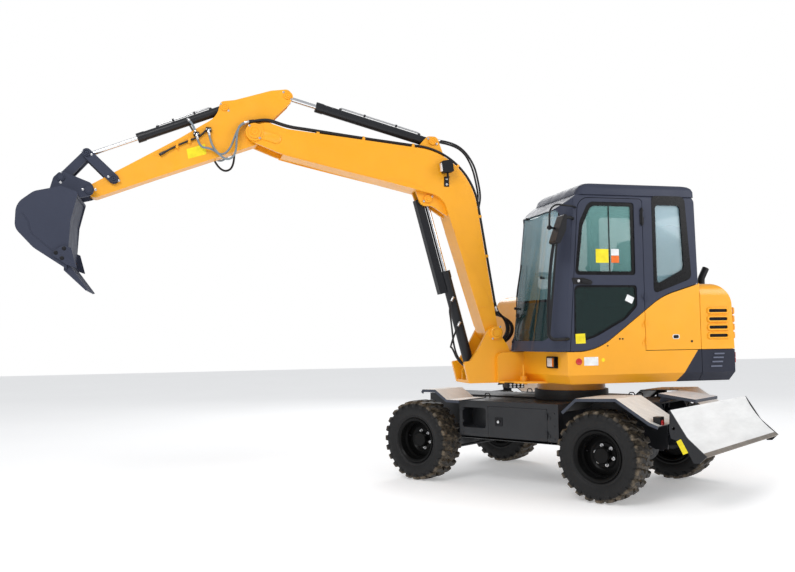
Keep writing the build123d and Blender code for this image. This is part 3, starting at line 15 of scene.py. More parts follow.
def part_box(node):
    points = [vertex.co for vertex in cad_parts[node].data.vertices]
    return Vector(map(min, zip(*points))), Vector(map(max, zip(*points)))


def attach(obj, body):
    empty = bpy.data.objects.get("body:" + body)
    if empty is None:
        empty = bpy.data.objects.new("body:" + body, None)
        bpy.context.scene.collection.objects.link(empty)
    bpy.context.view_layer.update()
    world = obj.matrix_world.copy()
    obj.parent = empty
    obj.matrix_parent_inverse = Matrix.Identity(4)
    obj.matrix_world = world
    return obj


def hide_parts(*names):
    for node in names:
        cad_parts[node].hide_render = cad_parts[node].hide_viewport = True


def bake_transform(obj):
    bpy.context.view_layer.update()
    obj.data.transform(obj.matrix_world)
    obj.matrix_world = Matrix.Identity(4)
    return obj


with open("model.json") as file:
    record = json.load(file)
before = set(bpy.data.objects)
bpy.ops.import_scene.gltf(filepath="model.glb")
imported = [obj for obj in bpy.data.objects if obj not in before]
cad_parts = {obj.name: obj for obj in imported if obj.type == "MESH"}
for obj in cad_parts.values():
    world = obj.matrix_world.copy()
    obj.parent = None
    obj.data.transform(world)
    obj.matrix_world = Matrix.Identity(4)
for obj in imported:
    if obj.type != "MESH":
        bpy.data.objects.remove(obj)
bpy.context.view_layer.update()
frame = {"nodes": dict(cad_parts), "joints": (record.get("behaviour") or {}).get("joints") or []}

LOG = logging.getLogger("excavator")
Colour = tuple[float, float, float]
Point = tuple[float, float, float]
Outline = Sequence[tuple[float, float]]

VIEW_WIDTH = 795                # width of the view's own grid
MM = 1000                       # millimetres in a metre


def joint(name: str) -> dict:
    """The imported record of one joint."""
    return next(entry for entry in frame["joints"] if entry["name"] == name)


SLEW_AXIS = Vector(joint("slew")["pos_m"]) * Vector((1, 1, 0))


@dataclass(frozen=True)
class Axes:
    """Axes that a sub-assembly is laid out in: millimetres about the slew axis at the ground.

    turn is in degrees about the vertical; origin is in those turned axes.
    """

    turn: float = 0.0
    origin: Point = (0.0, 0.0, 0.0)
    mirrored: bool = False

    def matrix(self) -> Matrix:
        """The matrix from these axes to the frame's, metres included.

        Returns:
            The 4 by 4 matrix, from millimetres here to metres there.
        """
        spin = Matrix.Rotation(radians(self.turn), 4, "Z")
        flip = Matrix.Diagonal((1, -1 if self.mirrored else 1, 1, 1))
        moved = Matrix.Translation(Vector(self.origin) / MM)
        return Matrix.Translation(SLEW_AXIS) @ spin @ moved @ flip @ Matrix.Scale(1 / MM, 4)

    def at(self, x: float, y: float, z: float) -> Vector:
        """A point of these axes in the frame's metres."""
        return self.matrix() @ Vector((x, y, z))

    def along(self, x: float, y: float, z: float) -> Vector:
        """A unit direction of these axes in the frame."""
        return (self.matrix().to_3x3() @ Vector((x, y, z))).normalized()


UPPER = Axes()
CHASSIS = Axes(turn=-55.0)


class Face(Enum):
    """The plane that an outline lies in; its two values go along these of x, y and z."""

    SIDE = (0, 2, 1)
    CROSS = (1, 2, 0)
    PLAN = (0, 1, 2)

    def place(self, u: float, v: float, level: float) -> Vector:
        """The outline's point (u, v) at a level across the plane.

        Args:
            u: the outline's first number.
            v: its second number.
            level: where the plane stands, across it.

        Returns:
            The point in the shape's axes.
        """
        point = Vector()
        point[self.value[0]], point[self.value[1]], point[self.value[2]] = u, v, level
        return point


MOST_OF_RUN = 0.49              # how much of a run one rounding may take
LEAST_SLOPE = 1e-6              # keeps a straight corner from dividing by nothing


def oblong(left: float, low: float, right: float, high: float) -> list[tuple[float, float]]:
    """The four corners of an oblong, from its lower left one round."""
    return [(left, low), (right, low), (right, high), (left, high)]


def rounded(corners: Outline, radii: Sequence[float], steps: int = 5) -> list[tuple[float, float]]:
    """An outline with its corners rounded.

    Args:
        corners: the corners in order.
        radii: one rounding for each corner, or a single one for all.
        steps: runs in each rounding.

    Returns:
        The points of the outline, steps + 1 of them a corner.
    """
    count = len(corners)
    radii = list(radii) * count if len(radii) == 1 else radii
    points = []
    for i, radius in enumerate(radii):
        here = Vector(corners[i])
        back = Vector(corners[i - 1]) - here
        ahead = Vector(corners[(i + 1) % count]) - here
        half = back.angle(ahead) / 2
        reach = min(radius / max(sin(half) / cos(half), LEAST_SLOPE),
                    MOST_OF_RUN * back.length, MOST_OF_RUN * ahead.length)
        start, end = here + back.normalized() * reach, here + ahead.normalized() * reach
        for step in range(steps + 1):
            t = step / steps
            points.append(tuple(start * (1 - t) ** 2 + here * (2 * t * (1 - t)) + end * t * t))
    return points


# ---------------------------------------------------------------- finishes
class Graph:
    """The node tree of one material, with short calls for the nodes in use."""

    def __init__(self, name: str) -> None:
        """An empty tree with its shader.

        Args:
            name: the material's name.
        """
        self.material = bpy.data.materials.new(name)
        self.material.use_nodes = True
        self.tree = self.material.node_tree
        self.tree.nodes.clear()
        self.shader = self.tree.nodes.new("ShaderNodeBsdfPrincipled")
        out = self.tree.nodes.new("ShaderNodeOutputMaterial")
        self.tree.links.new(self.shader.outputs["BSDF"], out.inputs["Surface"])
        self.coords = self.tree.nodes.new("ShaderNodeTexCoord")

    def feed(self, socket: bpy.types.NodeSocket, value: object) -> None:
        """Links or sets an input, by the kind of value.

        Args:
            socket: the input to set.
            value: a socket to link, or a plain value.
        """
        if isinstance(value, bpy.types.NodeSocket):
            self.tree.links.new(value, socket)
        else:
            socket.default_value = value

    def shade(self, **values: object) -> None:
        """Sets the shader's inputs, by their names with _ for a space."""
        for name, value in values.items():
            self.feed(self.shader.inputs[name.replace("_", " ")], value)

    def noise(self, scale: float, detail: float = 3.0, rough: float = 0.5,
              stretch: Point = (1.0, 1.0, 1.0)) -> bpy.types.NodeSocket:
        """A noise from 0 to 1 in the piece's own space.

        Args:
            scale: cells a metre.
            detail: octaves.
            rough: weight of the finer octaves.
            stretch: scale along x, y and z.

        Returns:
            The noise's output.
        """
        mapping = self.tree.nodes.new("ShaderNodeMapping")
        mapping.inputs["Scale"].default_value = stretch
        self.tree.links.new(self.coords.outputs["Object"], mapping.inputs["Vector"])
        node = self.tree.nodes.new("ShaderNodeTexNoise")
        self.tree.links.new(mapping.outputs["Vector"], node.inputs["Vector"])
        node.inputs["Scale"].default_value = scale
        node.inputs["Detail"].default_value = detail
        node.inputs["Roughness"].default_value = rough
        return node.outputs["Fac"]

    def reach(self, direction: Vector, origin: Vector = Vector(),
              source: str = "Object") -> bpy.types.NodeSocket:
        """How far the surface point, or its normal, lies along a direction.

        Args:
            direction: in the frame at rest.
            origin: where the distance starts.
            source: Object for the point, Normal for the surface's own normal.

        Returns:
            The distance in metres, or the cosine.
        """
        less = self.tree.nodes.new("ShaderNodeVectorMath")
        less.operation = "SUBTRACT"
        self.tree.links.new(self.coords.outputs[source], less.inputs[0])
        less.inputs[1].default_value = origin
        dot = self.tree.nodes.new("ShaderNodeVectorMath")
        dot.operation = "DOT_PRODUCT"
        self.tree.links.new(less.outputs["Vector"], dot.inputs[0])
        dot.inputs[1].default_value = direction
        return dot.outputs["Value"]

    def ramp(self, value: bpy.types.NodeSocket, low: float, high: float,
             start: float = 0.0, end: float = 1.0) -> bpy.types.NodeSocket:
        """value taken from low..high to start..end, held at both.

        Args:
            value: what is taken over.
            low: the value that gives start.
            high: the value that gives end.
            start: what low gives.
            end: what high gives.

        Returns:
            The value taken over.
        """
        node = self.tree.nodes.new("ShaderNodeMapRange")
        self.tree.links.new(value, node.inputs["Value"])
        for name, number in (("From Min", low), ("From Max", high), ("To Min", start), ("To Max", end)):
            node.inputs[name].default_value = number
        return node.outputs["Result"]

    def maths(self, operation: str, a: object, b: object = 0.0) -> bpy.types.NodeSocket:
        """One sum of two values.

        Args:
            operation: the node's own name for the sum.
            a: its first value.
            b: its second value.

        Returns:
            The sum.
        """
        node = self.tree.nodes.new("ShaderNodeMath")
        node.operation = operation
        self.feed(node.inputs[0], a)
        self.feed(node.inputs[1], b)
        return node.outputs["Value"]

    def length(self, a: object, b: object) -> bpy.types.NodeSocket:
        """The length of the slope over two sides at right angles."""
        squares = [self.maths("MULTIPLY", side, side) for side in (a, b)]
        return self.maths("SQRT", self.maths("ADD", *squares))

    def studs(self, rib: float, low: float, high: float) -> bpy.types.NodeSocket:
        """The chequered studs of tread plate, laid out along the chassis.

        Args:
            rib: the studs' spacing in metres.
            low: wave height where a stud starts.
            high: wave height where it is full.

        Returns:
            1 on a stud and 0 between them.
        """
        a = self.reach(CHASSIS.along(1, 1, 0) * (pi / rib))
        b = self.reach(CHASSIS.along(1, -1, 0) * (pi / rib))
        return self.ramp(self.maths("MULTIPLY", self.maths("SINE", a), self.maths("SINE", b)), low, high)

    def mix(self, share: object, a: object, b: object) -> bpy.types.NodeSocket:
        """Colour a passing to colour b as share goes from 0 to 1.

        Args:
            share: how far the colour has passed from a to b.
            a: the colour at 0.
            b: the colour at 1.

        Returns:
            The mixed colour.
        """
        node = self.tree.nodes.new("ShaderNodeMix")
        node.data_type = "RGBA"
        self.feed(node.inputs[0], share)
        for socket, value in ((node.inputs[6], a), (node.inputs[7], b)):
            self.feed(socket, (*value, 1.0) if isinstance(value, tuple) else value)
        return node.outputs[2]

    def bump(self, height: bpy.types.NodeSocket, distance: float, strength: float = 1.0) -> None:
        """A bump of the given height in metres.

        Args:
            height: the relief, from 0 to 1.
            distance: the relief's height in metres.
            strength: how much of it shows.
        """
        node = self.tree.nodes.new("ShaderNodeBump")
        node.inputs["Strength"].default_value = strength
        node.inputs["Distance"].default_value = distance
        self.tree.links.new(height, node.inputs["Height"])
        self.tree.links.new(node.outputs["Normal"], self.shader.inputs["Normal"])


def tint(colour: Colour, factor: float) -> Colour:
    """A colour made lighter or darker."""
    return tuple(min(1.0, part * factor) for part in colour)


@dataclass(frozen=True)
class Finish:
    """A surface finish. Its subclasses wire what their kind of surface needs."""

    name: str
    colour: Colour
    slot: str
    roughness: float = 0.45

    def wire(self, graph: Graph) -> None:
        """Wires the colour and the relief."""
        graph.shade(Base_Color=self.mottled(graph, self.colour), Roughness=self.roughness)

    def mottled(self, graph: Graph, colour: Colour, depth: float = 0.12, scale: float = 3.0) -> object:
        """colour with soft uneven patches."""
        patches = graph.ramp(graph.noise(scale, 4.0, 0.55), 0.3, 0.7)
        return graph.mix(patches, tint(colour, 1 - depth), tint(colour, 1 + depth))

    def uneven(self, graph: Graph, noise: bpy.types.NodeSocket, less: float, more: float,
               high: float = 0.7) -> bpy.types.NodeSocket:
        """The finish's roughness, varied a little over the surface."""
        return graph.ramp(noise, 0.3, high, self.roughness - less, self.roughness + more)

    def material(self) -> bpy.types.Material:
        """The finish's material, made the first time it is asked for.

        Returns:
            The material.
        """
        title = f"{self.name}_finish"
        found = bpy.data.materials.get(title)
        if found is None:
            graph = Graph(title)
            self.wire(graph)
            found = graph.material
        return found


@dataclass(frozen=True)
class Paint(Finish):
    """Sprayed gloss paint over steel, with a clear coat and a faint orange peel."""

    coat: float = 0.3
    specular: float = 0.5
    peel: float = 0.00012

    def body(self, graph: Graph) -> object:
        """The paint's colour over the whole piece."""
        return self.mottled(graph, self.colour, 0.04, 2.2)

    def wire(self, graph: Graph) -> None:
        """Wires the paint's colour, gloss and orange peel.

        Args:
            graph: the finish's nodes.
        """
        rough = self.uneven(graph, graph.noise(9.0, 4.0), 0.07, 0.1, 0.75)
        graph.shade(Base_Color=self.body(graph), Roughness=rough, Specular_IOR_Level=self.specular,
                    Coat_Weight=self.coat, Coat_Roughness=0.12)
        graph.bump(graph.noise(260.0, 2.0), self.peel, 0.6)


@dataclass(frozen=True)
class RidgedPaint(Paint):
    """The counterweight's dark paint, with the faces of its side ridges pale."""

    ridge: Colour = (0.2, 0.2, 0.2)
    face_y: float = 933.0

    def body(self, graph: Graph) -> object:
        """The dark colour, and the pale one past the side's own face.

        Args:
            graph: the finish's nodes.

        Returns:
            The colour.
        """
        middle = UPPER.at(0, 0, 0)
        off_side = graph.maths("ABSOLUTE", graph.reach(Vector((0, 1, 0)), middle))
        share = graph.ramp(off_side, (self.face_y - 1) / MM, (self.face_y + 1) / MM)
        return graph.mix(share, self.mottled(graph, self.colour, 0.08), self.mottled(graph, self.ridge, 0.06))


@dataclass(frozen=True)
class FenderPaint(Paint):
    """Pale tread plate on top, a blue-grey rolled edge, and a black underside that is painted shade, each
    chosen by which way the face points.
    """

    edge: Colour = (0.035, 0.042, 0.062)
    painted_shade_under: Colour = (0.01, 0.01, 0.01)
    rib: float = 0.011
    top_tilt: tuple[float, float] = (0.32, 0.36)
    painted_shade_tilt: tuple[float, float] = (-0.3, -0.25)

    def wire(self, graph: Graph) -> None:
        """Wires the three zones by facing, the black one below as painted shade, and the raised tread.

        Args:
            graph: the finish's nodes.
        """
        lift = graph.reach(Vector((0, 0, 1)), source="Normal")
        level = graph.ramp(lift, *self.top_tilt)
        top = graph.mix(level, self.mottled(graph, self.edge, 0.1),
                        self.mottled(graph, self.colour, 0.1, 8.0))
        # faces that point down turn black: painted shade under the fender
        colour = graph.mix(graph.ramp(lift, *self.painted_shade_tilt), self.painted_shade_under, top)
        pattern = graph.maths("MULTIPLY", graph.studs(self.rib, 0.1, 0.5), level)
        graph.shade(Base_Color=graph.mix(pattern, colour, tint(self.colour, 0.8)), Roughness=self.roughness,
                    Metallic=0.0)
        graph.bump(pattern, 0.0012)


@dataclass(frozen=True)
class DeckPaint(Paint):
    """Chassis paint, with a raised tread on its level top faces."""

    rib: float = 0.016

    def wire(self, graph: Graph) -> None:
        """Wires the paint with a worn tread on what faces up.

        Args:
            graph: the finish's nodes.
        """
        lift = graph.ramp(graph.reach(Vector((0, 0, 1)), source="Normal"), 0.9, 0.95)
        tread = graph.maths("MULTIPLY", graph.studs(self.rib, 0.15, 0.55), lift)
        dust = graph.maths("MULTIPLY", graph.ramp(graph.noise(5.0, 5.0, 0.6), 0.35, 0.7, 0.25, 0.75), lift)
        colour = graph.mix(dust, self.mottled(graph, self.colour, 0.12), tint(self.colour, 2.6))
        rough = self.uneven(graph, graph.noise(9.0, 4.0), 0.07, 0.12, 0.75)
        graph.shade(Base_Color=graph.mix(tread, colour, tint(self.colour, 3.4)), Roughness=rough,
                    Coat_Weight=self.coat, Coat_Roughness=0.2)
        graph.bump(tread, 0.0015)


@dataclass(frozen=True)
class BladePaint(Paint):
    """The dozer blade: a pale scoured face between dark ends, arms and back."""

    face: Colour = (0.8, 0.8, 0.8)
    worn: Colour = (0.3, 0.25, 0.2)
    half_width: float = 934.0
    edge_z: float = 505.0
    face_x: float = 1300.0
    ragged: float = 0.012

    def body(self, graph: Graph) -> object:
        """The dark paint, the pale face and the worn band along the cutting edge.

        Args:
            graph: the finish's nodes.

        Returns:
            The colour.
        """
        middle = CHASSIS.at(0, 0, 0)
        outward = CHASSIS.along(-1, 0, 0.0)
        turned = graph.ramp(graph.reach(outward, source="Normal"), 0.2, 0.24)
        across = graph.maths("ABSOLUTE", graph.reach(CHASSIS.along(0, 1, 0), middle))
        inside = graph.ramp(across, (self.half_width - 2) / MM, self.half_width / MM, 1.0, 0.0)
        far = graph.ramp(graph.reach(outward, middle), self.face_x / MM, (self.face_x + 2) / MM)
        face = graph.maths("MULTIPLY", graph.maths("MULTIPLY", turned, inside), far)
        height = graph.reach(Vector((0, 0, 1)))
        scour = graph.noise(2.0, 8.0, 0.65, (1.0, 1.0, 5.0))
        pale = graph.mix(graph.ramp(scour, 0.35, 0.75), self.face, tint(self.face, 0.82))
        frayed = graph.ramp(graph.noise(14.0, 5.0), 0.3, 0.7, -self.ragged, self.ragged)
        bare = graph.ramp(graph.maths("ADD", height, frayed), (self.edge_z - 4) / MM,
                          (self.edge_z + 4) / MM, 1.0, 0.0)
        return graph.mix(face, self.mottled(graph, self.colour, 0.1),
                         graph.mix(bare, pale, self.mottled(graph, self.worn, 0.3, 20.0)))


@dataclass(frozen=True)
class Iron(Finish):
    """Painted or bare castings and forgings, slightly pitted."""

    metal: float = 0.0
    pitted: float = 0.0006

    def wire(self, graph: Graph) -> None:
        """Wires a dull uneven surface.

        Args:
            graph: the finish's nodes.
        """
        rough = self.uneven(graph, graph.noise(24.0, 5.0), 0.1, 0.12)
        graph.shade(Base_Color=self.mottled(graph, self.colour, 0.22, 7.0), Roughness=rough,
                    Metallic=self.metal)
        graph.bump(graph.noise(140.0, 4.0), self.pitted, 0.5)


@dataclass(frozen=True)
class Chrome(Finish):
    """Bright turned steel with a fine grain."""

    def wire(self, graph: Graph) -> None:
        """Wires a bright metal with faint marks."""
        graph.shade(Base_Color=self.mottled(graph, self.colour, 0.05, 30.0), Metallic=1.0,
                    Roughness=self.uneven(graph, graph.noise(300.0, 3.0, 0.6), 0.04, 0.06))


@dataclass(frozen=True)
class GuardedRod(Finish):
    """A chromed rod with the painted guard plate that it carries beside it."""

    base: tuple[float, float] = (0.0, 0.0)
    eye: tuple[float, float] = (0.0, 1.0)
    rod: float = 0.038
    guard: Colour = (0.015, 0.016, 0.019)
    guard_rough: float = 0.45

    def wire(self, graph: Graph) -> None:
        """Wires chrome near the rod's axis and dark paint away from it.

        Args:
            graph: the finish's nodes.
        """
        start = UPPER.at(self.base[0], 0, self.base[1])
        aim = (UPPER.at(self.eye[0], 0, self.eye[1]) - start).normalized()
        off = graph.reach(aim.cross(Vector((0, 1, 0))), start)
        across = graph.reach(Vector((0, 1, 0)), start)
        near = graph.ramp(graph.length(off, across), self.rod - 0.0005, self.rod + 0.0005, 1.0, 0.0)
        colour = graph.mix(near, self.mottled(graph, self.guard), self.mottled(graph, self.colour, 0.03))
        graph.shade(Base_Color=colour, Metallic=near, Specular_IOR_Level=0.2,
                    Roughness=graph.ramp(near, 0.0, 1.0, self.guard_rough, self.roughness))
        graph.bump(graph.noise(300.0, 2.0), 0.0001, 0.4)


@dataclass(frozen=True)
class Rubber(Finish):
    """Rubber with a little dust in its grain."""

    dust: Colour = (0.05, 0.043, 0.033)
    dusty: float = 0.35

    def skin(self, graph: Graph) -> object:
        """The dark rubber with its dust."""
        share = graph.ramp(graph.noise(11.0, 6.0, 0.65), 0.35, 0.75, 0.0, self.dusty)
        return graph.mix(share, self.colour, self.dust)

    def wire(self, graph: Graph) -> None:
        """Wires the rubber's colour, sheen and grain.

        Args:
            graph: the finish's nodes.
        """
        rough = self.uneven(graph, graph.noise(40.0, 4.0), 0.08, 0.08)
        graph.shade(Base_Color=self.skin(graph), Roughness=rough, Specular_IOR_Level=0.35)
        graph.bump(graph.noise(420.0, 2.0), 0.0004, 0.5)


@dataclass(frozen=True)
class TreadRubber(Rubber):
    """A tyre's rubber: clean sidewall, and a brown band on the flanks of the lugs, partly dust and partly a
    painted highlight on their edges.
    """

    hub: Point = (0.0, 0.0, 0.0)
    foot: float = 0.386
    crown: float = 0.411
    soil_and_highlight: Colour = (0.16, 0.125, 0.085)

    def skin(self, graph: Graph) -> object:
        """The rubber, with the brown band of soil and painted highlight between the lugs' foot and crown.

        Args:
            graph: the finish's nodes.

        Returns:
            The colour.
        """
        off_x = graph.reach(CHASSIS.along(1, 0, 0), Vector(self.hub))
        off_z = graph.reach(Vector((0, 0, 1)), Vector(self.hub))
        radius = graph.length(off_x, off_z)
        # the brown band on the lug flanks is partly dust and partly painted highlight
        above = graph.ramp(radius, self.foot - 0.012, self.foot + 0.004)
        below = graph.ramp(radius, self.crown - 0.006, self.crown + 0.002, 1.0, 0.25)
        patchy = graph.ramp(graph.noise(26.0, 5.0, 0.6), 0.38, 0.62, 0.15, 1.0)
        share = graph.maths("MULTIPLY", graph.maths("MULTIPLY", above, below), patchy)
        return graph.mix(share, super().skin(graph), self.soil_and_highlight)


@dataclass(frozen=True)
class Moulded(Finish):
    """Moulded plastic with a fine leather grain."""

    specular: float = 0.3

    def wire(self, graph: Graph) -> None:
        """Wires the grain and a slight unevenness.

        Args:
            graph: the finish's nodes.
        """
        graph.shade(Base_Color=self.mottled(graph, self.colour, 0.15, 12.0),
                    Roughness=self.uneven(graph, graph.noise(30.0, 3.0), 0.06, 0.06),
                    Specular_IOR_Level=self.specular)
        graph.bump(graph.noise(700.0, 2.0), 0.0003, 0.5)


@dataclass(frozen=True)
class Pane(Finish):
    """Tinted window glass, seen through."""

    clear: float = 0.4
    sky_reflection: Colour = (0.5, 0.7, 0.75)
    dark_below: float = 0.0
    # heights in metres that the tint pales between, towards the painted sky reflection
    sill: float = 1.4
    head: float = 2.8

    def wire(self, graph: Graph) -> None:
        """Wires a tint that pales upwards into a painted sky reflection, with soft streaks of painted
        reflection.

        Args:
            graph: the finish's nodes.
        """
        # the upward paling and the streaks are a painted reflection of the sky
        height = graph.ramp(graph.reach(Vector((0, 0, 1))), self.sill, self.head)
        reflection_streaks = graph.ramp(graph.noise(1.6, 2.0, 0.5, (1.0, 1.0, 0.4)), 0.35, 0.65, -0.25, 0.25)
        share = graph.maths("ADD", height, reflection_streaks)
        low = graph.ramp(graph.reach(Vector((0, 0, 1))), self.dark_below - 0.002, self.dark_below, 1.0, 0.0)
        pale = graph.mix(share, self.colour, self.sky_reflection)
        graph.shade(Base_Color=graph.mix(low, pale, tint(self.colour, 0.12)), Roughness=self.roughness,
                    Alpha=graph.maths("ADD", self.clear, graph.maths("MULTIPLY", low, 0.4)), IOR=1.5,
                    Specular_IOR_Level=0.6)


@dataclass(frozen=True)
class Windscreen(Pane):
    """The cab's fixed glass: windscreen paling upwards into a painted sky reflection, over a darker lower
    pane, with black borders.
    """

    split_z: float = 1.825
    border: float = 0.032
    middle_y: float = 460.0
    half_width: float = 0.41
    black: Colour = (0.006, 0.006, 0.007)

    def wire(self, graph: Graph) -> None:
        """Wires the tint with its painted sky reflection, the lower pane, the border and the band between the
        panes.

        Args:
            graph: the finish's nodes.
        """
        height = graph.reach(Vector((0, 0, 1)))
        ahead = graph.ramp(graph.reach(Vector((1, 0, 1)), source="Normal"), 0.3, 0.34)
        across = graph.maths("ABSOLUTE", graph.reach(Vector((0, 1, 0)), UPPER.at(0, self.middle_y, 0)))
        inner = self.half_width - self.border
        edge = graph.ramp(across, inner - 0.002, inner)
        from_split = graph.maths("ABSOLUTE", graph.maths("SUBTRACT", height, self.split_z))
        band = graph.ramp(from_split, 0.012, 0.014, 1.0, 0.0)
        black = graph.maths("MULTIPLY", graph.maths("MAXIMUM", edge, band), ahead)
        low = graph.maths("MULTIPLY", graph.ramp(height, self.split_z - 0.002, self.split_z, 1.0, 0.0), ahead)
        # the streaks and the upward paling are a painted reflection of the sky
        reflection_streaks = graph.ramp(graph.noise(1.3, 2.0), 0.35, 0.65, -0.2, 0.2)
        reflection_share = graph.maths("ADD", graph.ramp(height, self.sill, self.head), reflection_streaks)
        colour = graph.mix(low, graph.mix(reflection_share, self.colour, self.sky_reflection), tint(self.colour, 0.25))
        veil = graph.maths("ADD", self.clear, graph.maths("MULTIPLY", low, 0.12))
        graph.shade(Base_Color=graph.mix(black, colour, self.black), Roughness=self.roughness,
                    Alpha=graph.maths("MAXIMUM", black, veil), IOR=1.5, Specular_IOR_Level=0.8)


@dataclass(frozen=True)
class Lens(Finish):
    """Moulded lamp lens with fine flutes."""

    fluting: float = 0.006

    def wire(self, graph: Graph) -> None:
        """Wires the lens's colour and its flutes.

        Args:
            graph: the finish's nodes.
        """
        waves = graph.maths("SINE", graph.reach(Vector((0, 2 * pi / self.fluting, 0))))
        graph.shade(Base_Color=self.mottled(graph, self.colour, 0.12, 40.0), Roughness=self.roughness,
                    Coat_Weight=0.6, Coat_Roughness=0.05)
        graph.bump(waves, 0.0005, 0.4)


@dataclass(frozen=True)
class Fabric(Finish):
    """Woven seat cloth."""

    thread: float = 0.0022

    def wire(self, graph: Graph) -> None:
        """Wires a plain weave and its sheen.

        Args:
            graph: the finish's nodes.
        """
        wave = 2 * pi / self.thread
        warp = graph.maths("SINE", graph.reach(Vector((wave, 0, wave))))
        weft = graph.maths("SINE", graph.reach(Vector((0, wave, 0))))
        weave = graph.maths("MULTIPLY", warp, weft)
        colour = graph.mix(graph.ramp(weave, -0.6, 0.6), tint(self.colour, 0.75), tint(self.colour, 1.25))
        worn = graph.ramp(graph.noise(6.0, 4.0), 0.4, 0.7, 0.0, 0.3)
        graph.shade(Base_Color=graph.mix(worn, colour, tint(self.colour, 1.6)), Roughness=self.roughness,
                    Sheen_Weight=0.35, Sheen_Roughness=0.5)
        graph.bump(weave, 0.0004, 0.6)


YELLOW: Colour = (0.90, 0.385, 0.009)
SLATE: Colour = (0.046, 0.052, 0.078)
NIGHT: Colour = (0.011, 0.012, 0.015)

YELLOW_PAINT = Paint("yellow_paint", YELLOW, "yellow_paint", 0.36)
SLATE_PAINT = Paint("slate_paint", SLATE, "slate_paint", 0.42, coat=0.04, specular=0.1)
WEIGHT_PAINT = RidgedPaint("counterweight_paint", (0.028, 0.031, 0.046), "slate_paint", 0.42, coat=0.05,
                           specular=0.15, ridge=(0.14, 0.155, 0.21))
RAM_PAINT = Paint("ram_paint", (0.017, 0.018, 0.021), "slate_paint", 0.36, coat=0.06, specular=0.25)
CHASSIS_PAINT = DeckPaint("chassis_paint", NIGHT, "chassis_paint", 0.45, coat=0.04, specular=0.18)
UNDERFRAME_PAINT = Paint("underframe_paint", NIGHT, "chassis_paint", 0.5, coat=0.0, specular=0.18)
FENDER_PAINT = FenderPaint("fender_paint", (0.86, 0.84, 0.80), "step_grey", 0.42)
STEP_PAINT = FenderPaint("step_paint", (0.80, 0.80, 0.81), "step_grey", 0.4)
BLADE_PAINT = BladePaint("blade_paint", NIGHT, "blade_grey", 0.4, coat=0.1, specular=0.35,
                         face=(0.90, 0.90, 0.89))
AXLE_IRON = Iron("axle_iron", (0.018, 0.019, 0.022), "axle_iron", 0.5)
RIM_BLACK = Paint("rim_black", (0.005, 0.005, 0.005), "rim_black", 0.45, coat=0.04, specular=0.12)
TYRE_BLACK: Colour = (0.0045, 0.0045, 0.005)
TYRE_RUBBER = Rubber("tyre_rubber", TYRE_BLACK, "tyre_rubber", 0.55)
ROD_CHROME = Chrome("rod_chrome", (0.83, 0.84, 0.86), "chromed_rod", 0.16)
BRIGHT_STEEL = Chrome("bright_steel", (0.68, 0.68, 0.69), "chromed_rod", 0.3)
WINDOW_GLASS = Pane("window_glass", (0.045, 0.16, 0.15), "tinted_glass", 0.05, sky_reflection=(0.22, 0.46, 0.44),
                    dark_below=1.97)
CAB_GLASS = Windscreen("cab_glass_tint", (0.06, 0.15, 0.15), "tinted_glass", 0.05, clear=0.42,
                       sky_reflection=(0.38, 0.58, 0.66))
BLACK_PLASTIC = Moulded("black_plastic", (0.006, 0.006, 0.008), "black_plastic", 0.45)
LAMP_BLACK = Moulded("lamp_housing", (0.01, 0.01, 0.011), "lamp_plastic", 0.35)
ENGINE_ALLOY = Iron("engine_alloy", (0.22, 0.22, 0.23), "engine_alloy", 0.45, metal=0.7)
HOSE_RUBBER = Rubber("hose_rubber", (0.012, 0.012, 0.014), "hose_rubber", 0.42, dusty=0.12)
GREY_HOSE = Rubber("grey_hose_sleeve", (0.16, 0.20, 0.23), "hose_rubber", 0.4, dust=(0.30, 0.35, 0.38),
                   dusty=0.5)
GUARDED_ROD = GuardedRod("guarded_rod_chrome", (0.83, 0.84, 0.86), "chromed_rod", 0.16, base=(1100.0, 1170.0),
                         eye=(1545.0, 2871.0))
WORN_STEEL = Iron("worn_steel", (0.30, 0.26, 0.22), "blade_grey", 0.42, metal=0.8)
GASKET = Moulded("window_border_black", (0.004, 0.004, 0.005), "black_plastic", 0.3, specular=0.2)
WHITE_PLASTIC = Moulded("white_plastic", (0.75, 0.76, 0.74), "lamp_plastic", 0.4)
YELLOW_LABEL = Moulded("blank_yellow_label", (0.85, 0.70, 0.02), "yellow_paint", 0.4)
ORANGE_LABEL = Moulded("blank_orange_label", (0.80, 0.16, 0.02), "yellow_paint", 0.4)
WHITE_LABEL = Moulded("blank_white_label", (0.80, 0.81, 0.82), "lamp_plastic", 0.4)
RED_LENS = Lens("red_lens", (0.55, 0.012, 0.012), "lamp_plastic", 0.2)
ORANGE_LENS = Lens("orange_lens", (0.80, 0.16, 0.01), "lamp_plastic", 0.2)
WHITE_LENS = Lens("white_lens", (0.82, 0.83, 0.84), "lamp_plastic", 0.15)
SEAT_CLOTH = Fabric("seat_cloth", (0.045, 0.06, 0.07), "seat_cloth", 0.8)

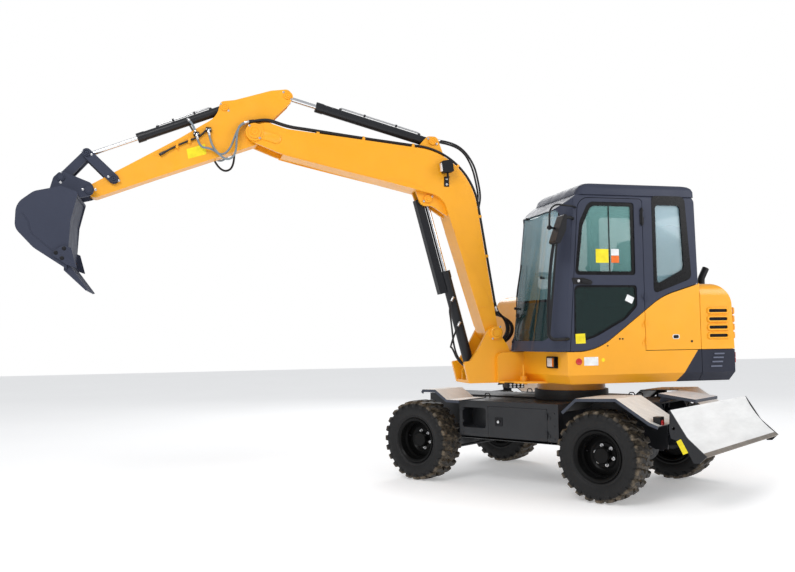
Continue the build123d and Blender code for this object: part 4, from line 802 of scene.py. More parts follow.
NODE_FINISHES: list[tuple[Finish, str]] = [
    (YELLOW_PAINT, "arm boom boom_bracket engine_hood left_side_door left_sill_panel right_cover"
                   " right_side_door upper_deck"),
    (SLATE_PAINT, "cab_frame cab_door bucket bucket_link rocker"),
    (WEIGHT_PAINT, "counterweight"),
    (RAM_PAINT, "boom_ram_barrel arm_ram_barrel bucket_ram_barrel blade_ram_barrel"),
    (CHASSIS_PAINT, "chassis_frame tank_box tool_box tool_box_door"),
    (UNDERFRAME_PAINT, "fender_stays"),
    (FENDER_PAINT, "front_fenders rear_fenders"),
    (STEP_PAINT, "rear_step"),
    (BLADE_PAINT, "blade"),
    (AXLE_IRON, "front_axle rear_axle knuckle_left knuckle_right tie_rod drive_shafts"),
    (RIM_BLACK, "rim_front_left rim_front_right rim_rear_left rim_rear_right"),
    (TYRE_RUBBER, "tyre_front_left tyre_front_right tyre_rear_left tyre_rear_right"),
    (ROD_CHROME, "arm_ram_rod bucket_ram_rod blade_ram_rod"),
    (GUARDED_ROD, "boom_ram_rod"),
    (WINDOW_GLASS, "door_glass"),
    (CAB_GLASS, "cab_glass"),
    (BLACK_PLASTIC, "cab_mounts seat_base steering_column handrail mirror exhaust_pipe work_lamp"),
    (LAMP_BLACK, "tail_lamps headlamps"),
    (ENGINE_ALLOY, "engine_block"),
    (HOSE_RUBBER, "boom_hoses"),
    (SEAT_CLOTH, "operator_seat"),
]


def dress_nodes() -> None:
    """Gives every CAD node its finish."""
    for finish, names in NODE_FINISHES:
        for name in names.split():
            node = frame["nodes"].get(name)
            if node is None:
                continue
            if not node.material_slots:
                node.data.materials.append(finish.material())
            for held in node.material_slots:
                held.material = finish.material()
            LOG.info("%s: %s", name, finish.name)


# ---------------------------------------------------------------- shapes
LEAST_RADIUS = 0.01             # keeps a turned tip from closing to a point


class Shape:
    """A mesh under construction in one set of axes, in millimetres."""

    def __init__(self, axes: Axes = UPPER) -> None:
        """An empty mesh."""
        self.axes = axes
        self.mesh = bmesh.new()

    def loft(self, rings: Sequence[Sequence[Vector]], caps: bool = True, closed: bool = False) -> None:
        """Skins rings of as many points each.

        Args:
            rings: the rings in order.
            caps: closes the first and the last ring.
            closed: the last ring meets the first.
        """
        made = [[self.mesh.verts.new(point) for point in ring] for ring in rings]
        pairs = list(zip(made, made[1:])) + ([(made[-1], made[0])] if closed else [])
        for here, there in pairs:
            for i in range(len(here)):
                j = (i + 1) % len(here)
                self.mesh.faces.new((here[i], here[j], there[j], there[i]))
        if caps and not closed:
            self.mesh.faces.new(list(reversed(made[0])))
            self.mesh.faces.new(made[-1])

    def plate(self, outline: Outline, face: Face, low: float, high: float, chamfer: float = 0.0) -> None:
        """A flat plate.

        Args:
            outline: its outline in the face's plane.
            face: that plane.
            low: level of its back.
            high: level of its front.
            chamfer: bevel of the front's edge.
        """
        middle = sum((Vector(point) for point in outline), Vector((0, 0))) / len(outline)
        rings = [[face.place(*point, low) for point in outline]]
        if chamfer:
            side = high - chamfer if high > low else high + chamfer
            rings.append([face.place(*point, side) for point in outline])
            inner = []
            for point in outline:
                out = Vector(point) - middle
                inner.append(face.place(*(Vector(point) - out.normalized() * chamfer), high))
            rings.append(inner)
        else:
            rings.append([face.place(*point, high) for point in outline])
        self.loft(rings)

    def border(self, outer: Outline, inner: Outline, face: Face, low: float, high: float) -> None:
        """A flat frame between two outlines of as many points.

        Args:
            outer: the outline round the outside.
            inner: the outline round the hole.
            face: the plane that both lie in.
            low: where the frame starts across the plane.
            high: where it ends.
        """
        rings = [[face.place(*point, level) for point in outline]
                 for outline, level in ((outer, low), (outer, high), (inner, high), (inner, low))]
        self.loft(rings, closed=True)

    def turned(self, profile: Outline, centre: Point, axis: Point, sides: int = 32) -> None:
        """A turned solid.

        Args:
            profile: radius and height pairs along the axis, from one end to the other.
            centre: where the height starts.
            axis: the direction of the axis.
            sides: flats round it.
        """
        aim = Vector(axis).normalized()
        first = aim.orthogonal().normalized()
        second = aim.cross(first)
        rings = []
        for radius, height in profile:
            turns = [2 * pi * i / sides for i in range(sides)]
            rings.append([Vector(centre) + aim * height
                          + (first * cos(turn) + second * sin(turn)) * max(radius, LEAST_RADIUS)
                          for turn in turns])
        self.loft(rings)

    def bolt(self, centre: Point, axis: Point, radius: float = 9.0, height: float = 7.0) -> None:
        """A hexagon head on its washer.

        Args:
            centre: the middle of the face that it stands on.
            axis: the way that it points.
            radius: the head's radius over its corners.
            height: the head's height.
        """
        washer = [(radius * 1.35, 0), (radius * 1.35, height * 0.25), (radius * 1.2, height * 0.3)]
        self.turned(washer, centre, axis, 20)
        self.turned([(radius, height * 0.2), (radius, height * 0.85), (radius * 0.82, height)],
                    centre, axis, 6)

    def pin_cap(self, centre: Point, axis: Point, radius: float, height: float) -> None:
        """The end of a pin in its ringed boss.

        Args:
            centre: the middle of the face that it stands on.
            axis: the way that it points.
            radius: the boss's radius.
            height: the boss's height.
        """
        self.turned([(radius, 0), (radius, height * 0.7), (radius * 0.93, height), (radius * 0.72, height),
                     (radius * 0.66, height * 0.55), (radius * 0.52, height * 0.55),
                     (radius * 0.47, height * 0.95),
                     (radius * 0.2, height * 0.95), (radius * 0.15, height * 0.5)], centre, axis, 40)

    def tube(self, points: Sequence[Vector], radius: float, sides: int = 12) -> None:
        """A round tube.

        Args:
            points: its middle line.
            radius: its radius.
            sides: flats round it.
        """
        points = [Vector(point) for point in points]
        rings = []
        normal = (points[1] - points[0]).orthogonal().normalized()
        for i, point in enumerate(points):
            aim = (points[min(i + 1, len(points) - 1)] - points[max(i - 1, 0)]).normalized()
            normal = (normal - aim * normal.dot(aim)).normalized()
            across = aim.cross(normal)
            rings.append([point + (normal * cos(2 * pi * k / sides)
                                   + across * sin(2 * pi * k / sides)) * radius
                          for k in range(sides)])
        self.loft(rings)

    def loose_piece(self, name: str, finish: Finish, sharp: float = 35.0) -> bpy.types.Object:
        """Ends the mesh as a piece that rides on no body yet.

        Args:
            name: the piece's name.
            finish: its finish.
            sharp: edges sharper than this many degrees stay sharp.

        Returns:
            The object.
        """
        bmesh.ops.recalc_face_normals(self.mesh, faces=self.mesh.faces)
        matrix = self.axes.matrix()
        self.mesh.transform(matrix)
        if matrix.determinant() < 0:
            bmesh.ops.reverse_faces(self.mesh, faces=self.mesh.faces)
        data = bpy.data.meshes.new(name)
        self.mesh.to_mesh(data)
        self.mesh.free()
        data.polygons.foreach_set("use_smooth", [True] * len(data.polygons))
        data.set_sharp_from_angle(angle=radians(sharp))
        data.materials.append(finish.material())
        piece = bpy.data.objects.new(name, data)
        bpy.context.scene.collection.objects.link(piece)
        return piece

    def piece(self, name: str, finish: Finish, body: str, sharp: float = 35.0) -> bpy.types.Object:
        """Ends the mesh as a piece that rides on a body.

        Args:
            name: the piece's name.
            finish: its finish.
            body: the body it rides on.
            sharp: edges sharper than this many degrees stay sharp.

        Returns:
            The object.
        """
        piece = self.loose_piece(name, finish, sharp)
        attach(piece, body)
        LOG.info("%s rides on %s: %d faces", name, body, len(piece.data.polygons))
        return piece


# ---------------------------------------------------------------- wheels
def middle_of(node: str, axes: Axes) -> Vector:
    """The middle of a CAD node's box in the given axes, in millimetres."""
    low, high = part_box(node)
    return axes.matrix().inverted() @ ((low + high) / 2)


@dataclass(frozen=True)
class Wheel:
    """One tyre with its lugs, and the nuts and valve of its rim."""

    place: str
    left: bool
    body: str
    lugs: int = 24
    lug_slope: float = 5.0
    lug_radius: float = 400.0
    nuts: int = 6
    nut_circle: float = 90.0
    disc_y: float = -8.0
    crown: float = 390.0
    # radius and distance from the middle, from the bead out over the sidewall to the tread
    sidewall: tuple[tuple[float, float], ...] = (
        (212.6, 100), (212.6, 116), (230, 119.5), (238, 130), (247, 137), (256, 138), (262, 136), (272, 140),
        (296, 147), (322, 149.5), (348, 148), (368, 141), (380, 131), (386, 112), (389, 60))
    # across and radius of the lug's top, of its foot, shift round the tyre, half width
    stations: tuple[tuple[float, ...], ...] = (
        (147.5, 338, 140, 340, 0, 15), (151.5, 356, 141, 356, 0, 22), (152.4, 377, 134, 370, 0, 26),
        (149, 396, 130, 379, 0, 27), (139, 407, 126, 384, 0, 27), (110, 412, 108, 386, 0, 26),
        (72, 413.8, 72, 387, 0, 25), (46, 414.4, 46, 388, 16, 22), (18, 414.8, 18, 388, 38, 21),
        (-14, 414.8, -14, 388, 44, 20))

    def axes(self) -> Axes:
        """Axes with +Y out of the wheel, from its middle."""
        centre = middle_of(f"tyre_{self.place}", CHASSIS)
        return Axes(CHASSIS.turn, tuple(centre), mirrored=not self.left)

    def carcass(self, shape: Shape, sides: int = 96) -> None:
        """Turns the tyre's carcass.

        Args:
            shape: the mesh to add to.
            sides: flats round it.
        """
        section = [(radius, -across) for radius, across in self.sidewall] + [(self.crown, 0)]
        section += reversed(self.sidewall)
        rings = []
        for step in range(sides):
            turn = 2 * pi * step / sides
            rings.append([Vector((radius * cos(turn), across, radius * sin(turn)))
                          for radius, across in section])
        shape.loft(rings, closed=True)

    def lug(self, shape: Shape, turn: float, side: int) -> None:
        """One stepped lug from the shoulder in past the middle.

        Args:
            shape: the mesh to add to.
            turn: where round the tyre it stands, in radians.
            side: 1 for the outboard row, -1 for the inboard one.
        """
        rings = []
        for top_y, top_r, foot_y, foot_r, shift, half in self.stations:
            ring = []
            slope = self.lug_slope
            for round_by, share in ((-half - slope, 0.0), (-half, 0.78), (-half + slope, 1.0),
                                    (half - slope, 1.0), (half, 0.78), (half + slope, 0.0)):
                radius = foot_r + (top_r - foot_r) * share
                across = foot_y + (top_y - foot_y) * share
                angle = turn + side * (shift + round_by) / self.lug_radius
                ring.append(Vector((radius * cos(angle), side * across, radius * sin(angle))))
            rings.append(ring)
        shape.loft(rings)

    def build(self) -> None:
        """Makes the tyre and the rim's trim."""
        tyre = Shape(self.axes())
        self.carcass(tyre)
        for step in range(self.lugs):
            for side, offset in ((1, 0.0), (-1, 0.5)):
                self.lug(tyre, 2 * pi * (step + offset) / self.lugs, side)
        rubber = TreadRubber(f"tyre_rubber_{self.place}", TYRE_BLACK, "tyre_rubber", 0.55,
                             dust=(0.012, 0.011, 0.010), hub=tuple(self.axes().at(0, 0, 0)))
        piece = tyre.piece(f"lugged_tyre_{self.place}", rubber, self.body, 30)
        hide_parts(f"tyre_{self.place}")
        nuts = Shape(self.axes())
        for step in range(self.nuts):
            turn = 2 * pi * (step + 0.25) / self.nuts
            seat = (self.nut_circle * cos(turn), self.disc_y, self.nut_circle * sin(turn))
            nuts.bolt(seat, (0, 1, 0), 13, 17)
            nuts.turned([(6, 0), (6, 26), (4.5, 28)], seat, (0, 1, 0), 12)
        nuts.piece(f"wheel_nuts_{self.place}", BRIGHT_STEEL, self.body)
        valve = Shape(self.axes())
        valve.tube([(150, self.disc_y, 30), (152, 14, 31), (166, 26, 34)], 5, 10)
        valve.piece(f"valve_stem_{self.place}", BLACK_PLASTIC, self.body)


# ---------------------------------------------------------------- pins
@dataclass(frozen=True)
class PinSet:
    """The ends of the pins that one body shows on both sides, with their keeper bolts."""

    name: str
    body: str
    finish: Finish
    # x, z, half width over the bosses, cap radius, keeper bolt's direction in degrees
    pins: tuple[tuple[float, float, float, float, float], ...]
    height: float = 11.0
    keeper: float = 8.0

    def build(self) -> None:
        """Makes the caps, and the keeper bolts beside them."""
        caps, keepers = Shape(), Shape()
        for x, z, half, radius, turn in self.pins:
            for side in (1, -1):
                caps.pin_cap((x, side * half, z), (0, side, 0), radius, self.height)
                reach = radius + self.keeper * 1.5
                for angle in (radians(turn), radians(turn) + pi):
                    spot = (x + reach * cos(angle), side * (half - 1), z + reach * sin(angle))
                    keepers.bolt(spot, (0, side, 0), self.keeper, 7)
        caps.piece(f"{self.name}_caps", self.finish, self.body)
        keepers.piece(f"{self.name}_keeper_bolts", BRIGHT_STEEL, self.body)


PIN_SETS = [
    PinSet("foot_pin", "upper", YELLOW_PAINT, ((897, 1534, 218, 58, 125), (1100, 1170, 92, 40, 60))),
    PinSet("boom_pins", "boom", YELLOW_PAINT,
           ((3254, 3450, 149, 62, 50), (1545, 2871, 92, 38, 150), (1490, 3452, 92, 38, 30))),
    PinSet("arm_pins", "arm", YELLOW_PAINT, ((2934, 3832, 80, 38, 40), (3527, 3688, 80, 36, 40))),
    PinSet("rocker_pins", "rocker", SLATE_PAINT, ((4515, 2970, 106, 36, 20), (4747, 3199, 106, 32, 20)),
           height=18.0),
    PinSet("bucket_pins", "bucket", SLATE_PAINT, ((4720, 2859, 138, 42, 0), (4960, 2963, 138, 36, 90))),
]


# ---------------------------------------------------------------- free hoses
@dataclass(frozen=True)
class Hose:
    """A free hose between two bodies: its route, and the bodies that its two ends ride on."""

    name: str
    route: tuple[Point, ...]
    radius: float
    bodies: tuple[str, str]
    finish: Finish
    stiffness: str = "stiff"
    collar: float = 46.0
    wall: float = 3.0

    def line(self) -> list[Vector]:
        """Points of the route's own smooth line, in the frame's metres.

        Returns:
            The points, in order from the route's first end.
        """
        curve = bpy.data.curves.new(f"{self.name}_route", "CURVE")
        curve.dimensions = "3D"
        spline = curve.splines.new("NURBS")
        spline.points.add(len(self.route) - 1)
        for held, point in zip(spline.points, self.route):
            held.co = (*UPPER.at(*point), 1.0)
        spline.order_u = 3
        spline.use_endpoint_u = True
        spline.resolution_u = 10
        holder = bpy.data.objects.new(f"{self.name}_route", curve)
        mesh = bpy.data.meshes.new_from_object(holder)
        points = [vertex.co.copy() for vertex in mesh.vertices]
        bpy.data.objects.remove(holder)
        bpy.data.curves.remove(curve)
        bpy.data.meshes.remove(mesh)
        return points

    def build(self) -> None:
        """Makes the hose and its two collars."""
        line = self.line()
        inverse = UPPER.matrix().inverted()
        local = [inverse @ point for point in line]
        hose = Shape()
        hose.tube(local, self.radius, 14)
        piece = hose.loose_piece(self.name, self.finish)
        for tag, body, end, inner in (("near", self.bodies[0], local[0], local[1]),
                                      ("far", self.bodies[1], local[-1], local[-2])):
            collar = Shape()
            aim = tuple((inner - end).normalized())
            wide = self.radius + self.wall
            collar.turned([(wide + 2, -6), (wide + 2, 10)], tuple(end), aim, 6)
            collar.turned([(wide, 8), (wide, self.collar - 3), (wide - 2, self.collar)], tuple(end), aim, 20)
            collar.piece(f"{self.name}_{tag}_end", BRIGHT_STEEL, body)
        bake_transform(piece)


def foot_hoses() -> list[Hose]:
    """The four hoses that loop from the platform's bulkhead up to the lines on the boom's back.

    Returns:
        The hoses, from one side to the other.
    """
    hoses = []
    # y at the boom, y of the loop, y at the bulkhead, how far the loop is drawn in
    table = ((104, 40, 60, 68), (22, -12, 18, 25), (-22, -62, -24, -23), (-104, -112, -66, -60))
    for number, (y_top, y_loop, y_low, draw) in enumerate(table, 1):
        route = ((934, y_low, 1300), (886, y_low, 1338), (800, (y_low + y_loop) / 2, 1392),
                 (712 + draw, y_loop, 1448), (646 + draw, y_loop, 1536), (652 + draw, y_loop, 1630),
                 (734 + draw * 0.6, (y_loop + y_top) / 2, 1698), (836, y_top, 1738), (858.5, y_top, 1792))
        hoses.append(Hose(f"boom_foot_hose_{number}", route, 12.0, ("upper", "boom"), HOSE_RUBBER))
    return hoses


def arm_ram_hoses() -> list[Hose]:
    """The two hoses that bow from the boom's back to the base of the arm ram.

    Returns:
        The hoses.
    """
    hoses = []
    for number, (side, out) in enumerate(((1, 0.0), (-1, 24.0)), 1):
        y_low, y_top = 63 * side, 36 * side
        route = ((1016, y_low, 2722), (1003, y_low, 2800), (980 - out, y_low, 2905), (998 - out, y_low, 3040),
                 (1042 - out, y_low, 3235), (1150 - out, y_top, 3400), (1300, y_top, 3468),
                 (1440, y_top, 3478))
        hoses.append(Hose(f"arm_ram_hose_{number}", route, 10.0, ("boom", "arm_ram_barrel"), HOSE_RUBBER))
    return hoses


def boom_ram_hoses() -> list[Hose]:
    """The two hoses that bow ahead of the boom ram to the ports on its barrel.

    Returns:
        The hoses.
    """
    hoses = []
    for number, (y, top, out) in enumerate(((112, 1890, 0.0), (136, 1640, 26.0)), 1):
        lean = 1100 + (top - 1170) * 445 / 1701
        route = ((966, y, 1215), (1040, y, 1196), (1150, y, 1190 - out), (1255 + out, y, 1262),
                 (1310 + out, y, 1400), (1330 + out, y, top - 250), (lean + 62, 96, top - 90),
                 (lean + 8, 74, top))
        hoses.append(Hose(f"boom_ram_hose_{number}", route, 9.0, ("upper", "boom_ram_barrel"), HOSE_RUBBER))
    return hoses


def tip_hoses() -> list[Hose]:
    """The loops from the lines at the boom's tip down and up to the fittings on the arm's sides.

    Returns:
        The hoses.
    """
    hoses = []
    # y at the boom's end, lowest height, x of the fitting, its height, finish
    table = (("outer_left", 134, 3165, 3676, 3450, GREY_HOSE),
             ("inner_left", 102, 3215, 3784, 3408, GREY_HOSE),
             ("inner_right", -102, 3200, 3784, 3408, GREY_HOSE),
             ("outer_right", -134, 3110, 3676, 3450, HOSE_RUBBER))
    for name, y, low, x_end, z_end, finish in table:
        side = 1 if y > 0 else -1
        away = side * (abs(y) + 14)
        mid = (3306 + x_end) / 2
        route = ((3306, y, 3548), (3372, y, 3534), (3420, away, 3450), (mid - 66, away, low + 60),
                 (mid + 20, away, low), (mid + 106, away, low + 70), (x_end - 18, side * 116, z_end - 120),
                 (x_end, side * 102, z_end))
        hoses.append(Hose(f"arm_loop_hose_{name}", route, 10.0, ("boom", "arm"), finish))
    for name, side in (("left", 1), ("right", -1)):
        route = ((3790, side * 98, 3424), (3806, side * 98, 3476), (3836, side * 88, 3530),
                 (3862, side * 64, 3560))
        hoses.append(Hose(f"bucket_ram_hose_{name}", route, 10.0, ("arm", "bucket_ram_barrel"), GREY_HOSE,
                          collar=30.0))
    return hoses


@dataclass(frozen=True)
class ArmFittings:
    """The blocks on the arm's sides that the loop hoses end in, and the line that runs on from one."""

    blocks: tuple[tuple[float, float], ...] = ((3676, 3462), (3787, 3416))
    block_height: float = 34.0
    face_y: float = 80.0
    line_y: float = 96.0
    line: tuple[tuple[float, float], ...] = (
        (3700, 3452), (3760, 3392), (3850, 3352), (3960, 3300), (4085, 3226))

    def build(self) -> None:
        """Makes the blocks, their screws and the line with its capped end."""
        blocks, screws = Shape(), Shape()
        for side in (1, -1):
            for x, z in self.blocks:
                top = side * (self.face_y + self.block_height)
                blocks.plate(rounded(oblong(x - 26, z - 20, x + 26, z + 20), [6]), Face.SIDE,
                             side * self.face_y, top, 3)
                for dx in (-17, 17):
                    screws.bolt((x + dx, top, z), (0, side, 0), 5, 5)
        blocks.piece("arm_hose_blocks", BLACK_PLASTIC, "arm")
        screws.piece("arm_hose_block_screws", BRIGHT_STEEL, "arm")
        pipe = Shape()
        pipe.tube([(x, self.line_y, z) for x, z in self.line], 9, 12)
        x, z = self.line[-1]
        pipe.turned([(14, -20), (15, 0), (15, 30), (11, 38)], (x, self.line_y, z), (0.86, 0, -0.5), 6)
        pipe.piece("arm_side_line", HOSE_RUBBER, "arm")
        clamps = Shape()
        for x, z in (self.line[2], self.line[3]):
            clamps.plate(rounded(oblong(x - 12, z - 26, x + 12, z + 26), [8]), Face.SIDE, self.face_y,
                         self.face_y + 28, 3)
            clamps.bolt((x, self.face_y + 28, z), (0, 1, 0), 6, 5)
        clamps.piece("arm_side_clamps", YELLOW_PAINT, "arm")


@dataclass(frozen=True)
class BucketTrim:
    """The bolted side cutters at the bucket's lip, and the beads on its side plates."""

    side_y: float = 350.0
    cutter: tuple[tuple[float, float], ...] = (
        (4985, 2238), (4992, 2278), (4908, 2338), (4842, 2312), (4797, 2136), (4880, 2166))
    bolts: tuple[tuple[float, float], ...] = ((4966, 2268), (4900, 2306), (4916, 2222))
    bead: tuple[tuple[float, float], ...] = (
        (5236, 2608), (5212, 2572), (5186, 2530), (5178, 2480), (5160, 2430), (5110, 2388), (5050, 2334),
        (4998, 2290))
    thick: float = 14.0

    def build(self) -> None:
        """Makes the cutters, their bolts and the beads on both sides."""
        cutters, bolts, beads = Shape(), Shape(), Shape()
        outline = rounded(self.cutter, [8, 10, 12, 10, 4, 8])
        for side in (1, -1):
            cutters.plate(outline, Face.SIDE, side * (self.side_y - 2), side * (self.side_y + self.thick), 2)
            for x, z in self.bolts:
                bolts.bolt((x, side * (self.side_y + self.thick), z), (0, side, 0), 13, 10)
            beads.tube([(x, side * self.side_y, z) for x, z in self.bead], 4, 8)
        cutters.piece("bucket_side_cutters", SLATE_PAINT, "bucket")
        bolts.piece("bucket_cutter_bolts", BLACK_PLASTIC, "bucket")
        beads.piece("bucket_side_beads", SLATE_PAINT, "bucket", 60)


# ---------------------------------------------------------------- cab
Band = tuple[Outline, Sequence[float], Outline, Sequence[float]]


@dataclass(frozen=True)
class CabTrim:
    """Black window borders, stickers, wiper, door handle and studs of the cab."""

    side_y: float = 930.0
    glass_y: float = 914.0
    right_y: float = -30.0
    rear_x: float = -905.0
    roof_z: float = 2934.0
    band_depth: float = 18.0
    band_rise: float = 2.5
    # outer corners, their rounding, inner corners, their rounding
    door_upper: Band = (((-240, 2060), (388, 2060), (330, 2560), (235, 2750), (-240, 2750)),
                        (30, 40, 150, 90, 30),
                        ((-204, 2095), (348, 2095), (296, 2520), (205, 2714), (-204, 2714)),
                        (16, 20, 150, 80, 16))
    door_lower: Band = (((-250, 1965), (-250, 1765), (-120, 1640), (190, 1480), (410, 1420), (398, 1965)),
                         (30, 60, 250, 400, 50, 50),
                         ((-232, 1947), (-232, 1776), (-112, 1658), (196, 1499), (391, 1441), (381, 1947)),
                         (24, 50, 240, 390, 40, 40))
    rear_left: Band = (((-428, 2822), (-784, 2824), (-838, 2031), (-428, 1884)), (54, 66, 70, 40),
                        ((-464, 2733), (-732, 2734), (-757, 2122), (-464, 1974)), (40, 44, 60, 30))
    right_front: Band = (((-272, 2776), (-272, 1944), (386, 1944), (304, 2776)), (60, 60, 60, 60),
                          ((-236, 2740), (-236, 1980), (346, 1980), (270, 2740)), (44, 44, 44, 44))
    right_rear: Band = (((-336, 2776), (-336, 1976), (-816, 2046), (-786, 2776)), (60, 60, 60, 60),
                         ((-372, 2740), (-372, 2012), (-778, 2078), (-752, 2740)), (44, 44, 44, 44))
    rear: Band = (((76, 2064), (824, 2064), (824, 2716), (76, 2716)), (60, 60, 60, 60),
                   ((112, 2100), (788, 2100), (788, 2680), (112, 2680)), (44, 44, 44, 44))

    def borders(self) -> None:
        """The black bands round the panes, on the door and on the cab."""
        door, cab = Shape(), Shape()
        for outer, outer_r, inner, inner_r in (self.door_upper, self.door_lower):
            door.border(rounded(outer, outer_r), rounded(inner, inner_r), Face.SIDE,
                        self.glass_y, self.glass_y + 7)
        door.plate(oblong(16, 2098, 26, 2712), Face.SIDE, self.glass_y, self.glass_y + 4)
        door.piece("door_window_borders", GASKET, "cab_door")
        for band, face, level, out in ((self.rear_left, Face.SIDE, self.side_y, 1),
                                       (self.right_front, Face.SIDE, self.right_y, -1),
                                       (self.right_rear, Face.SIDE, self.right_y, -1),
                                       (self.rear, Face.CROSS, self.rear_x, -1)):
            outer, outer_r, inner, inner_r = band
            cab.border(rounded(outer, outer_r), rounded(inner, inner_r), face, level - out * self.band_depth,
                       level + out * self.band_rise)
        cab.piece("cab_window_borders", GASKET, "upper")

    def handle(self) -> None:
        """The door's recessed handle with its bright lock."""
        recess = Shape()
        outline = rounded([(428, 2034), (404, 1972), (226, 1966), (206, 1990), (224, 2012), (300, 2034)],
                          [18, 22, 14, 12, 14, 20])
        recess.plate(outline, Face.SIDE, self.side_y - 6, self.side_y + 3, 2)
        grip = rounded([(330, 2012), (330, 1988), (232, 1982), (232, 2000)], [8])
        recess.plate(grip, Face.SIDE, self.side_y + 3, self.side_y + 15, 4)
        recess.piece("door_handle", BLACK_PLASTIC, "cab_door")
        lock = Shape()
        lock.turned([(13, 0), (13, 7), (10, 9), (7, 9), (6, 7), (0, 7)],
                    (356, self.side_y + 3, 2004), (0, 1, 0), 24)
        lock.piece("door_lock", BRIGHT_STEEL, "cab_door")

    def stickers(self) -> None:
        """Blank labels on the door and its panes."""
        for name, finish, corners, level in (
                ("door_corner_label", YELLOW_LABEL, [(394, 1421), (398, 1512), (300, 1516), (296, 1425)],
                 self.side_y),
                ("window_label", YELLOW_LABEL,
                 [(162, 2176), (162, 2305), (30, 2305), (30, 2176)], self.glass_y),
                ("window_tag_low", ORANGE_LABEL,
                 [(2, 2177), (2, 2244), (-79, 2244), (-79, 2177)], self.glass_y),
                ("window_tag_top", WHITE_LABEL,
                 [(2, 2246), (2, 2307), (-79, 2307), (-79, 2246)], self.glass_y),
                ("lower_pane_label", WHITE_LABEL, [(-128, 1822), (-200, 1790), (-228, 1846), (-156, 1880)],
                 self.glass_y)):
            label = Shape()
            label.plate(rounded(corners, [5], 3), Face.SIDE, level, level + 1.2)
            label.piece(name, finish, "cab_door")

    def wiper(self) -> None:
        """The wiper parked up the windscreen, its motor and its arm."""
        blade = Shape()
        blade.tube([(716, 300, 1700), (712, 300, 1850), (688, 300, 2000), (664, 300, 2160)], 5, 8)
        blade.tube([(706, 292, 1880), (694, 292, 1960), (672, 292, 2080), (650, 292, 2200)], 8, 8)
        blade.turned([(22, 0), (22, 16), (17, 24), (8, 26)], (694, 300, 1696), (0.98, 0, 0.13), 24)
        blade.piece("windscreen_wiper", BLACK_PLASTIC, "upper")

    def studs(self) -> None:
        """Rubber stops and catches on the windscreen's edge, and the roof's rear corner."""
        stops = Shape()
        for x, y, z in ((566, 300, 2654), (668, 200, 1769), (700, 200, 1440), (634, 760, 2040)):
            stops.turned([(9, -14), (9, 10), (14, 11), (14, 24), (10, 28)], (x, y, z), (0.98, 0, 0.18), 20)
        stops.turned([(13, 0), (15, 10), (9, 16)], (-862, 905, 2752), (-0.5, 0.8, 0.2), 20)
        stops.piece("cab_stops", BLACK_PLASTIC, "upper")

    def roof(self) -> None:
        """The domed roof panel with its two rubber stops, and the hinge beside the door."""
        panel = Shape()
        rings = []
        # height, how far in from the sides, rear end, front end
        for z, inset, rear, front in ((2818, -1.5, -906, 356), (2872, -1.5, -904, 332), (2902, 9, -890, 300),
                                      (2920, 26, -866, 270), (2930, 52, -836, 236),
                                      (self.roof_z, 90, -796, 196)):
            corners = oblong(rear, self.right_y + inset, front, self.side_y - inset)
            rings.append([Face.PLAN.place(*point, z) for point in rounded(corners, [64], 6)])
        panel.loft(rings)
        panel.piece("roof_panel", SLATE_PAINT, "upper", 50)
        stops = Shape()
        for x in (-44, -808):
            stops.turned([(15, -8), (15, 14), (20, 18), (20, 30), (12, 38), (0, 39)], (x, 600, self.roof_z),
                         (0, 0, 1), 24)
        stops.piece("roof_stops", BLACK_PLASTIC, "upper")
        hinge = Shape()
        hinge.plate(rounded([(-300, 2545), (-300, 2687), (-338, 2687), (-338, 2545)], [10]), Face.SIDE,
                    self.side_y - 4, self.side_y + 10, 3)
        hinge.tube([(-318, self.side_y + 10, 2530), (-318, self.side_y + 10, 2702)], 9, 14)
        hinge.piece("upper_door_hinge", BLACK_PLASTIC, "upper")

    def build(self) -> None:
        """Dresses the cab."""
        self.roof()
        self.borders()
        self.handle()
        self.stickers()
        self.wiper()
        self.studs()


